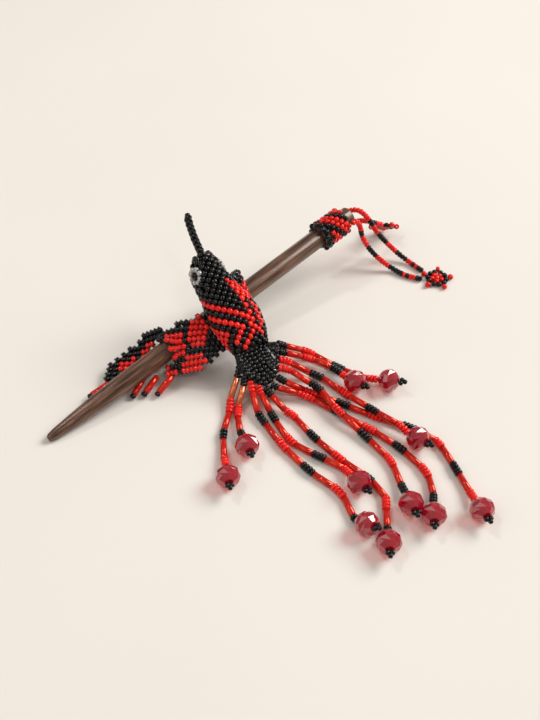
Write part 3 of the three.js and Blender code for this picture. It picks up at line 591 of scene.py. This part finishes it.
def sleeve_piece(name, start, end, node, radius, rows, is_red):
    """Tubular peyote: rows of beads round the stick, every other place filled and the next row between, on
    a felt tube."""
    piece = Piece()
    half = (end - start) / (rows + 1)
    size = half * 2 * BEAD_FILL
    middle_radius = radius - size / 2
    row, column = (grid.ravel() for grid in np.meshgrid(np.arange(rows), np.arange(SLEEVE_COLUMNS)))
    row, column = row[(row + column) % 2 == 0], column[(row + column) % 2 == 0]
    at, outward = stick_frame(start + half * (row + 1), 270 + column * 360 / SLEEVE_COLUMNS)
    piece.seeds(at + outward * middle_radius, np.cross(STICK, outward), outward,
                2 * math.pi * middle_radius / SLEEVE_COLUMNS * 0.98, size, is_red(column, row))
    inner = STICK_RADIUS + GAP
    verts, faces = lathe([(start + 0.5, inner), (start + 0.5, middle_radius), (end - 0.5, middle_radius),
                          (end - 0.5, inner)], 32)
    piece.add(on_stick(verts), faces, FELT)
    piece.finish(name, "stick", [node])


sleeve_end = STICK_LENGTH - SLEEVE_END
sleeve_start = sleeve_end - SLEEVE_LENGTH
rim_end = sleeve_start + RIM_LENGTH + RIM_OVERLAP
sleeve_piece("rim_beads", sleeve_start, rim_end, "sleeve_rim", RIM_RADIUS, RIM_ROWS,
             lambda column, row: row < 0)  # all black
sleeve_piece("sleeve_beads", rim_end, sleeve_end, "sleeve", SLEEVE_RADIUS, SLEEVE_ROWS,
             lambda column, row: ((row + column) % 6 != 2) & ((row - column) % 18 != 4))


# Body
def share(along, column):
    """Column of the body's table at shares of its axis, straight between its rows."""
    return np.interp(along, BODY_SECTIONS[:, 0], BODY_SECTIONS[:, column])


def body_section(along):
    """Centre, half width and half depth of the body at shares of its axis."""
    along = np.asarray(along, float)
    centre = (BEAK_BASE + (TAIL_ROOT - BEAK_BASE) * along[..., None]
              + BIRD_LEFT * share(along, 3)[..., None] * BODY_WIDTH)
    return centre, share(along, 1) * BODY_WIDTH / 2, share(along, 2) * BODY_DEPTH / 2


def oval_point(centre, half_width, half_depth, angle):
    """Points round ovals: centre + left·width·sin + up·depth·cos, and the directions out of the skin."""
    sine, cosine = np.sin(angle)[..., None], np.cos(angle)[..., None]
    half_width, half_depth = np.asarray(half_width)[..., None], np.asarray(half_depth)[..., None]
    return (centre + BIRD_LEFT * half_width * sine + BIRD_UP * half_depth * cosine,
            unit(BIRD_LEFT * half_depth * sine + BIRD_UP * half_width * cosine))


def even_angles(half_width, half_depth, part):
    """Angle at a share of the way round an oval: the arc is summed in small steps and read between two."""
    angles = np.linspace(0, 2 * math.pi, OVAL_STEPS + 1)
    steps = np.hypot(np.diff(half_width[:, None] * np.sin(angles)),
                     np.diff(half_depth[:, None] * np.cos(angles)))
    run = np.concatenate([np.zeros((len(part), 1)), np.cumsum(steps, 1)], 1)
    goal = (part % 1) * run[:, -1]
    high = np.clip((run < goal[:, None]).sum(1), 1, OVAL_STEPS)
    rows = np.arange(len(part))
    before, after = run[rows, high - 1], run[rows, high]
    return angles[high - 1] + (goal - before) / (after - before) * angles[1], run[:, -1]


def off_stick(points, reach):
    """Points no nearer than a reach to the stick's axis: the rest are pushed straight away from it."""
    foot = STICK_TIP + STICK * ((points - STICK_TIP) @ STICK)[..., None]
    away = points - foot
    distance = np.linalg.norm(away, axis=-1, keepdims=True)
    return np.where(distance >= reach, points, foot + away * reach / np.maximum(distance, 1e-6))


sections = np.linspace(0, 1, 161)
_, section_widths, section_depths = body_section(sections)
skin_steps = np.hypot(np.diff(sections) * BODY_LENGTH, np.diff((section_widths + section_depths) / 2))
meridian = np.concatenate([[0], np.cumsum(skin_steps)])

# Rows of half a pitch, the eighth 28 mm down the back: first row, last row, columns round the body
BODY_ZONES = [(-12, -11, 8), (-10, -9, 16), (-8, -3, 24), (-2, 14, 30), (15, 16, 24)]


def body_red(row, column):
    """Chart of the body: nested bars slant off the back's middle, with red blocks inside and beside them.
    Columns count to the left from the back's middle."""
    down, up = row + column, row - column
    bars = ((down == 8) & (column >= 0) & (column <= 8) | (down == 12) & (column >= 1) & (column <= 7)
            | (up == 10) & (column >= 2) & (column <= 7) | (up == 14) & (column >= -2) & (column <= 4)
            | (down >= 16) & (up <= 6) & (column <= 9))
    ridge = (column == -2) & (row <= 12) | (column == -1) & (row >= 9) & (row <= 13)
    side = (column >= -6) & (column <= -3)
    blocks = (side & ((row >= -1) & (row <= 4) | (down == 10) | (down == 12))
              | (column >= -5) & (column <= -4) & (row >= 6) & (row <= 12))
    return bars | ridge | blocks


EYES = {}
for side_name, side_sign in (("left", 1), ("right", -1)):
    eye_out = (BIRD_LEFT * side_sign * math.cos(math.radians(EYE_ANGLE))
               + BIRD_UP * math.sin(math.radians(EYE_ANGLE)))
    eye_centre, eye_width, _ = body_section(EYE_ALONG)
    EYES[side_name] = (eye_centre + eye_out * eye_width, eye_out)

body = Piece()
chart = []
for first, last, columns in BODY_ZONES:
    row, column = (grid.ravel() for grid in np.meshgrid(np.arange(first, last + 1),
                                                        np.arange(columns) - columns // 2))
    chart.append(np.stack([row, column, np.full(len(row), columns)])[:, (row + column) % 2 == 0])
row, column, columns = np.concatenate(chart, 1)
centre, half_width, half_depth = body_section(np.interp(28 + (row - 8) * ROW_PITCH / 2, meridian, sections))
angle, around = even_angles(half_width, half_depth, (column + 0.5) / columns)
skin, normal = oval_point(centre, half_width, half_depth, angle)
free = np.all([np.linalg.norm(skin - eye, axis=1) > EYE_RADIUS + 0.2 for eye, _ in EYES.values()], axis=0)
spot = off_stick(skin - normal * STITCH_SINK, STICK_RADIUS + STICK_CLEARANCE + STITCH_DIAMETER / 2)
body.seeds(spot[free], np.cross(BODY, normal)[free], normal[free], (around / columns * 1.12)[free],
           STITCH_DIAMETER, (body_red(row, np.round(column * 30 / columns)) & (row >= -2))[free])
# Felt under the beads, shut at both ends
core_along, core_turn = np.meshgrid(np.linspace(0.01, 0.995, 40), np.arange(32) * 2 * math.pi / 32,
                                    indexing="ij")
centre, half_width, half_depth = body_section(core_along)
core_size = np.where((core_along < 0.011) | (core_along > 0.99), 0.01, 1)
core, _ = oval_point(centre, np.maximum(half_width - FELT_INSET, 0.3) * core_size,
                     np.maximum(half_depth - FELT_INSET, 0.3) * core_size, core_turn)
body.add(off_stick(core, STICK_RADIUS + STICK_CLEARANCE + FELT_INSET).reshape(-1, 3),
         ring_faces(*core_along.shape, False)[:, ::-1], FELT)
body.finish("body_beads", "bird", ["body"])

# Eyes: one black bead in a ring of pearl ones
for side_name, (eye_point, eye_out) in EYES.items():
    eye = Piece()
    turn = unit(np.cross(eye_out, BODY))
    angle = np.arange(EYE_BEADS)[:, None] * 2 * math.pi / EYE_BEADS
    radial = turn * np.cos(angle) + np.cross(turn, eye_out) * np.sin(angle)
    eye.seeds(eye_point + radial * EYE_RING - eye_out * 0.75, np.cross(radial, eye_out), eye_out, 1.65, 2.0,
              slots=WHITE_BEAD)
    eye.seeds(eye_point - eye_out * 0.4, eye_out, turn, 1.5, 2.7)
    # Dark plate behind the eye: thread, and painted shade in the gaps between its beads.
    eye.thread_and_shade_backing(eye_point - eye_out * 1.1, turn, eye_out, 4.4, 4.4)
    eye.finish(f"eye_{side_name}_beads", "bird", [f"eye_{side_name}"])


def on_path(path, run, distance):
    """Points at distances along a row of points."""
    return np.stack([np.interp(distance, run, path[:, k]) for k in range(3)], -1)


def running(path):
    """Distance along a row of points at each of them."""
    return np.concatenate([[0], np.cumsum(np.linalg.norm(np.diff(path, axis=0), axis=1))])


# Beak: a rope of black beads, three to a round, each round turned by half a bead
beak = Piece()
beak_start = body_section(0.0)[0] - BODY * GAP
beak_share = np.linspace(0, 1, 50)
bend = np.interp(beak_share, [0, 0.4, 0.75, 0.93, 1], [0, 0.5, 0.5, 0.2, 0])
beak_path = beak_start + (BEAK_TIP - beak_start) * beak_share[:, None] + BIRD_LEFT * bend[:, None]
beak_run = running(beak_path)
rounds = int((beak_run[-1] - SEED_LENGTH) / BEAK_ROUND)
distance = 0.6 + np.repeat(np.arange(rounds), 3) * BEAK_ROUND
at = on_path(beak_path, beak_run, distance)
heading = unit(on_path(beak_path, beak_run, distance + 0.3) - on_path(beak_path, beak_run, distance - 0.3))
right, up = across(heading)
angle = np.radians(120 * (np.arange(rounds * 3) % 3) + 60 * (np.arange(rounds * 3) // 3 % 2))[:, None]
outward = right * np.cos(angle) + up * np.sin(angle)
beak.seeds(at + outward * BEAK_ROPE_RADIUS, np.cross(heading, outward), outward, 1.35, 1.7)
beak.seeds(beak_path[-1] - heading[-1] * 0.8, heading[-1], BIRD_UP, 1.5, 2.0)
beak.tube(beak_path, 0.5, THREAD_SLOT)
beak.finish("beak_beads", "bird", ["beak"])


# Wings
def catmull(points, count):
    """Uniform Catmull-Rom curve through points, as a row of that many points."""
    p = np.array(points, float)
    x = np.linspace(0, len(p) - 1, count)
    i = np.minimum(x.astype(int), len(p) - 2)
    w = (x - i)[:, None]
    p0, p1, p2, p3 = p[np.maximum(i - 1, 0)], p[i], p[i + 1], p[np.minimum(i + 2, len(p) - 1)]
    v0, v1 = (p2 - p0) / 2, (p3 - p1) / 2
    return (2 * p1 - 2 * p2 + v0 + v1) * w ** 3 + (-3 * p1 + 3 * p2 - 2 * v0 - v1) * w ** 2 + v0 * w + p1


WING_CURVES = {side: catmull(points, 401) for side, points in WING_LINES.items()}
WING_RUNS = {side: running(curve) for side, curve in WING_CURVES.items()}


def wing_edges(side, along):
    """Head and tail edge across the stick, and the slopes, at distances along the wing's line."""
    place = along / WING_RUNS[side][-1]
    head, tail, rise, fall = (np.interp(place, WING_CHORDS[:, 0], WING_CHORDS[:, k]) for k in (1, 2, 3, 4))
    return head * WING_REACH[side][1], tail, rise, fall


def wing_point(side, along, across_mm):
    """Middle of the sheet: the wing's line carried across the stick, at its height + across·slope."""
    curve, run = WING_CURVES[side], WING_RUNS[side]
    head, tail, rise, fall = wing_edges(side, along)
    reach = WING_REACH[side][0] + (1 - WING_REACH[side][0]) * (across_mm - tail) / (head - tail)
    distance = curve[0, 0] + (np.interp(along, run, curve[:, 0]) - curve[0, 0]) * reach
    height = np.interp(along, run, curve[:, 1]) + across_mm * np.where(across_mm > 0, rise, fall)
    plan = STICK_TIP * (1, 1, 0) + PLAN_ALONG * distance[..., None] + PLAN_ACROSS * across_mm[..., None]
    return plan + UP * np.maximum(height, WING_REST)[..., None]


def inside_body(points, growth):
    """Whether points are in the body grown by so much: the oval's rule with its two half axes."""
    along = (points - BEAK_BASE) @ BODY / BODY_LENGTH
    centre, half_width, half_depth = body_section(np.clip(along, 0, 1))
    left, up = (points - centre) @ BIRD_LEFT, (points - centre) @ BIRD_UP
    beyond = np.abs(along - 0.5) > 0.55
    return (left / (half_width + growth)) ** 2 + (up / (half_depth + growth)) ** 2 + beyond < 1


def in_field(x, y, corners):
    """Whether places are inside a closed row of corners: an odd number of sides passes on one hand."""
    (x1, y1), (x2, y2) = (np.array(row).T[..., None] for row in (corners, corners[1:] + corners[:1]))
    crossing = ((y1 > y) != (y2 > y)) & (x < (x2 - x1) * (y - y1) / np.where(y2 == y1, 1, y2 - y1) + x1)
    return crossing.sum(0) % 2 == 1


def wing_piece(side):
    """Flat peyote over the wing's sheet, open at the slot that the stick passes through."""
    piece = Piece()
    length = WING_RUNS[side][-1]
    columns = round((length - 2 * END_MARGIN) / STITCH_LENGTH)
    column, step = (grid.ravel() for grid in np.meshgrid(np.arange(columns + 1), np.arange(*WING_STEPS)))
    along = END_MARGIN + column * (length - 2 * END_MARGIN) / columns
    head, tail, rise, fall = wing_edges(side, along)
    pace = WING_PITCH / np.hypot(1, np.where(step >= 0, rise, fall))
    place = (step + 0.5 * (column % 2)) * pace
    spot = wing_point(side, along, place)
    hole = (wing_point(side, np.minimum(along + 0.5, length), place)
            - wing_point(side, np.maximum(along - 0.5, 0), place))
    sideways = wing_point(side, along, place + 0.5) - wing_point(side, along, place - 0.5)
    normal = unit(np.cross(hole, sideways))
    normal = np.where((normal[:, 2:] < -0.2), -normal, normal)
    offset = spot - STICK_TIP
    apart = np.linalg.norm(offset - STICK * (offset @ STICK)[:, None], axis=1)
    over = (along < WING_SLOT) & (side == "left")
    spot = np.where(over[:, None], off_stick(spot, STICK_RADIUS + WING_CLEARANCE), spot)
    keep = ((place >= tail - EDGE_MARGIN) & (place <= head + EDGE_MARGIN)
            & (over | (apart > STICK_RADIUS + WING_CLEARANCE)) & ~inside_body(spot, EDGE_MARGIN))
    red = np.any([in_field(along, place, field) for field in WING_FIELDS[side]], axis=0)
    room = np.minimum(np.linalg.norm(hole, axis=1), 1.7) * STITCH_LENGTH
    spot, hole, normal, red, room = (v[keep] for v in (spot, hole, normal, red, room))
    piece.seeds(spot, hole, normal, room * 1.12, WING_BEAD_DIAMETER, red)
    # Dark plates behind the wing's beads: thread, and painted shade in the gaps between them.
    piece.thread_and_shade_backing(spot, hole, normal, room, STITCH_DIAMETER)
    edge = (place + pace > head + EDGE_MARGIN)[keep]
    loops = np.flatnonzero(edge)[::3 if side == "left" else 1]
    for at, out, rise in zip(spot[loops], unit(sideways[keep][loops]), normal[loops]):
        turn = np.linspace(-1.2, 1.2, 7)[:, None]
        piece.tube(at + out * LOOP_RADIUS * np.cos(turn) + rise * (LOOP_RADIUS * np.sin(turn) + 0.1),
                   LOOP_THREAD, CLEAR_THREAD, 6)
    piece.finish(f"wing_{side}_beads", "bird", [f"wing_{side}"])


def fringe_piece(side, number, drop):
    """One bugle and one black bead off the wing's edge."""
    place, along_way, across_way, down = drop
    along = np.array(place * WING_RUNS[side][-1])
    head, tail, _, _ = wing_edges(side, along)
    edge = wing_point(side, along, tail)
    inside = wing_point(side, along, tail + 0.12 * (head - tail))
    way = PLAN_ALONG * along_way + PLAN_ACROSS * across_way + UP * down
    start = edge + unit(edge - inside) * FRINGE_GAP + way * FRINGE_GAP
    end = start + way * (BUGLE_LENGTH + SEED_LENGTH)
    end[2] = max(end[2], SEED_DIAMETER / 2)
    way = unit(end - start)
    piece = Piece()
    piece.bugles(start, start + way * BUGLE_LENGTH)
    piece.seeds(start + way * (BUGLE_LENGTH + SEED_LENGTH / 2), way, across(way)[1])
    piece.tube(np.linspace(start - way * 0.6, start + way * (BUGLE_LENGTH + SEED_LENGTH + 0.1), 3),
               THREAD / 3, THREAD_SLOT)
    piece.finish(f"fringe_{side}_beads_{number}", "bird", [f"fringe_{side}_{number}"])


for wing_side in ("left", "right"):
    wing_piece(wing_side)
    for number, drop in enumerate(FRINGE[wing_side], 1):
        fringe_piece(wing_side, number, drop)


# Strings
def centripetal(points, count=60):
    """Centripetal Catmull-Rom curve through points: knots a root of the chord apart, a cubic in between."""
    p = [np.array(q, float) for q in points]
    p = [2 * p[0] - p[1], *p, 2 * p[-1] - p[-2]]
    rows = []
    for a, b, c, d in zip(p, p[1:], p[2:], p[3:]):
        ta, tb, tc = (max(np.linalg.norm(v) ** 0.5, 1e-4) for v in (b - a, c - b, d - c))
        t1 = ((b - a) / ta - (c - a) / (ta + tb) + (c - b) / tb) * tb
        t2 = ((c - b) / tb - (d - b) / (tb + tc) + (d - c) / tc) * tb
        s = np.linspace(0, 1, count, endpoint=False)[:, None]
        rows.append(b + t1 * s + (3 * (c - b) - 2 * t1 - t2) * s ** 2 + (2 * (b - c) + t1 + t2) * s ** 3)
    rows.append(p[-2][None])
    path = np.concatenate(rows)
    return path, running(path)


def string_beads(piece, points, runs, diameter):
    """Seed beads and bugles along a route, spread evenly over its length and kept off the table."""
    path, run = centripetal(points)
    kinds = np.array([kind for kind, count in re.findall(r"([RBbg])(\d*)", runs)
                      for _ in range(int(count or 1))])
    bugle = (kinds == "b") | (kinds == "g")
    lengths = np.where(bugle, BUGLE_LENGTH, SEED_LENGTH)
    scale = run[-1] / lengths.sum()
    reached = np.concatenate([[0], np.cumsum(lengths)]) * scale
    start, end = on_path(path, run, reached[:-1]), on_path(path, run, reached[1:])
    if bugle.any():
        piece.bugles(start[bugle], end[bugle], kinds[bugle] == "g")
    way = unit(end - start)[~bugle]
    middle = ((start + end) / 2)[~bugle]
    middle[:, 2] = np.maximum(middle[:, 2], diameter / 2)
    piece.seeds(middle, way, across(way)[1], SEED_LENGTH * min(scale, 1.15), diameter, kinds[~bugle] == "R")
    piece.tube(path[::12], THREAD / 3, THREAD_SLOT, 6)


# Crystal bands: place as a share of half the length, diameter, turn in facets
CRYSTAL_BANDS = np.array([(-1, 1.5, 0), (-1, 3.2, 0), (-0.66, 6.4, 0), (-0.2, 8, 0.5), (0.2, 8, 0.5),
                          (0.66, 6.4, 0), (1, 3.2, 0), (1, 1.5, 0)])


def crystal_middle(crystal, heading):
    """Middle of a crystal that rests on the table on its lowest corner."""
    right, up = across(heading)
    angle = (np.arange(CRYSTAL_SIDES) + CRYSTAL_BANDS[:, 2:]) / CRYSTAL_SIDES * 2 * math.pi
    heights = (heading[2] * CRYSTAL_BANDS[:, :1] * CRYSTAL_LENGTH / 2
               + (right[2] * np.sin(angle) + up[2] * np.cos(angle)) * CRYSTAL_BANDS[:, 1:2] / 2)
    return np.array([*crystal, -heights.min()])


starts = []
for number, (runs, crystal, tilt, route) in enumerate(TAIL_STRINGS, 1):
    last = np.array(route[-1], float)
    heading = unit(np.array([crystal[0] - last[0], crystal[1] - last[1], 0]))
    heading = heading * math.cos(math.radians(tilt)) + UP * math.sin(math.radians(tilt))
    middle = crystal_middle(crystal, heading)
    leave = CRYSTAL_LENGTH / 2 + GAP
    entry = middle - heading * (leave + 0.3)
    piece = Piece()
    string_beads(piece, [*route, entry], runs, TAIL_SEED_DIAMETER)
    right, up = across(heading)
    piece.tube(np.linspace(entry, middle + heading * (leave + 1), 3), THREAD / 2, THREAD_SLOT, 6)
    picot = np.array([(-0.75, 0.7), (0.75, 0.7), (0, 2.0)])
    piece.seeds(middle + heading * (leave + picot[:, 1:]) + right * picot[:, :1], right, up, PICOT_LENGTH,
                PICOT_DIAMETER)
    piece.finish(f"tail_beads_{number}", "bird", [f"tail_string_{number}"])
    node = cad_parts[f"crystal_{number}"]
    node.data.materials.clear()
    node.data.materials.append(ruby)
    route_start = np.array(route[0], float)
    starts.append((route_start, unit(np.array(route[1], float) - route_start)))

# Tail flap: black peyote that fans out from under the body's end to the strings
flap = Piece()
flap_edge = np.array([start - way * 0.5 for start, way in starts])
half_root = share(1, 1) * BODY_WIDTH / 2
root_line = TAIL_ROOT + BODY * GAP + BIRD_LEFT * half_root * (1 - np.arange(11) / 5)[:, None]
flap_normal = unit(np.cross(flap_edge[FLAP_LOWEST_STRING] - flap_edge[0], flap_edge[-1] - flap_edge[0]))
flap_normal = flap_normal * np.sign(flap_normal[2])


def flap_point(place, out):
    """Point of the flap: root·(1 - out) + rim·out, each read at a place from string to string."""
    root, rim = (np.stack([np.interp(place, np.arange(11), line[:, k]) for k in range(3)], -1)
                 for line in (root_line, flap_edge))
    out = np.asarray(out, float)[..., None]
    return root * (1 - out) + rim * out


for row in range(FLAP_ROWS):
    out = (row - 0.3) / (FLAP_ROWS - 0.8)
    line = flap_point(np.linspace(0, 10, 101), out)
    run = running(line)
    count = max(6, round(run[-1] / FLAP_PITCH))
    place = np.interp((np.arange(count) + 0.3 + 0.4 * (row % 2)) / count * run[-1], run,
                      np.linspace(0, 10, 101))
    radial = flap_point(place, out + 0.05) - flap_point(place, out - 0.05)
    room = min(2.3, run[-1] / count * 1.1)
    lift = flap_normal * rng.uniform(*FLAP_LIFT, (count, 1))
    flap.seeds(flap_point(place, out) + lift, radial, flap_normal, FLAP_BEAD_LENGTH, room)
    # Dark plates behind the flap's beads: thread, and painted shade in the gaps between them.
    flap.thread_and_shade_backing(flap_point(place, out), radial, flap_normal, 1.6, room * 1.1)
for ends in (((8.2, 0.35), (7.7, 0.85)), ((6.1, 0.8), (6.4, 0.95))):
    bar = np.array([flap_point(np.array(p), o) + flap_normal * 0.95 for p, o in ends])
    flap.tube(np.linspace(bar[0], bar[1], 5), 0.35, CLEAR_THREAD)
flap.finish("flap_beads", "bird", ["tail_flap"])

# Tassel and stars
for number, (runs, degrees, route) in enumerate(TASSEL_STRINGS, 1):
    at, outward = stick_frame(sleeve_end + GAP, degrees)
    seat = at + outward * (STICK_RADIUS + GAP + 1)
    piece = Piece()
    string_beads(piece, [seat, seat + STICK * SLEEVE_END / 2, *route], runs, SEED_DIAMETER)
    piece.finish(f"tassel_beads_{number}", "stick", [f"tassel_string_{number}"])

# Beads of one arm of a star: distance from the middle, place from arm to arm, red or not, size
STAR_BEADS = [(1.8, 0.5, True, 2.0), (3.5, 0.27, False, 2.0), (3.5, -0.27, False, 2.0), (5.25, 0, True, 2.2)]
for name, middle, turn_degrees, lean in STARS:
    star = Piece()
    x_axis, y_axis, z_axis = (turned(turned(v, UP, turn_degrees), np.array([1.0, 0, 0]), lean)
                              for v in np.eye(3))
    for radius, turn_share, red, size in STAR_BEADS:
        angle = (np.arange(5)[:, None] + turn_share) * 2 * math.pi / 5
        radial = x_axis * np.cos(angle) + y_axis * np.sin(angle)
        star.seeds(middle + radial * radius, np.cross(radial, z_axis), z_axis, 1.6, size, red)
    star.seeds(np.array(middle), x_axis, z_axis, 1.7, 2.2, True)
    star.finish(f"{name}_beads", "stick", [name])


# Floor, light and camera
def floor_piece():
    """Warm cream tabletop with the faintest mottle."""
    mesh = bpy.data.meshes.new("tabletop")
    size = 3.0
    mesh.from_pydata([(-size, -size, 0), (size, -size, 0), (size, size, 0), (-size, size, 0)], [],
                     [(0, 1, 2, 3)])
    material, tree, shader = new_material("cream_card")
    place = tree.nodes.new("ShaderNodeTexCoord")
    cloud = noise(tree, place.outputs["Object"], 6, 2)
    colour = ramp(tree, cloud, [(0.3, (0.735, 0.7, 0.655)), (0.7, (0.755, 0.725, 0.68))])
    tree.links.new(colour, shader.inputs["Base Color"])
    set_inputs(shader, {"Roughness": 0.85, "Specular IOR Level": 0.2})
    mesh.materials.append(material)
    add_object("tabletop", mesh)


def area_light(name, place, size, energy, colour):
    """Square lamp that faces the middle of the table."""
    data = bpy.data.lights.new(name, "AREA")
    data.shape = "SQUARE"
    data.size = size
    data.energy = energy
    data.color = colour
    obj = add_object(name, data)
    obj.location = place
    obj.rotation_euler = (math.atan2(math.hypot(place[0], place[1]), place[2]), 0,
                          math.atan2(place[0], -place[1]))


floor_piece()
area_light("key_light", (1.5, 0.66, 1.38), 1.1, 48.0, (1.0, 0.975, 0.94))
area_light("fill_light", (-0.9, -0.5, 1.0), 1.2, 4.5, (1.0, 0.97, 0.94))
area_light("lamp_left", (-0.5, 0.3, 1.1), 0.12, 2.0, (1.0, 0.98, 0.95))
area_light("lamp_front", (0.3, -0.7, 1.1), 0.12, 1.2, (1.0, 0.98, 0.95))
world = bpy.data.worlds.new("soft_room")
world.use_nodes = True
world.node_tree.nodes["Background"].inputs["Color"].default_value = (1.0, 0.95, 0.89, 1)
world.node_tree.nodes["Background"].inputs["Strength"].default_value = 0.3
bpy.context.scene.world = world
bpy.context.scene.view_settings.view_transform = "Standard"

# The camera looks down at 47 degrees from 353 mm away, with a 50 mm lens on a 36 mm frame
camera_data = bpy.data.cameras.new("camera")
camera_data.lens = 50
camera_data.sensor_width = 36
camera_data.clip_start = 0.01
camera = add_object("camera", camera_data)
camera.location = (SHIFT[0] * MM, (-240.989 + SHIFT[1]) * MM, 258.429 * MM)
camera.rotation_euler = (math.radians(43), 0, 0)
bpy.context.scene.camera = camera
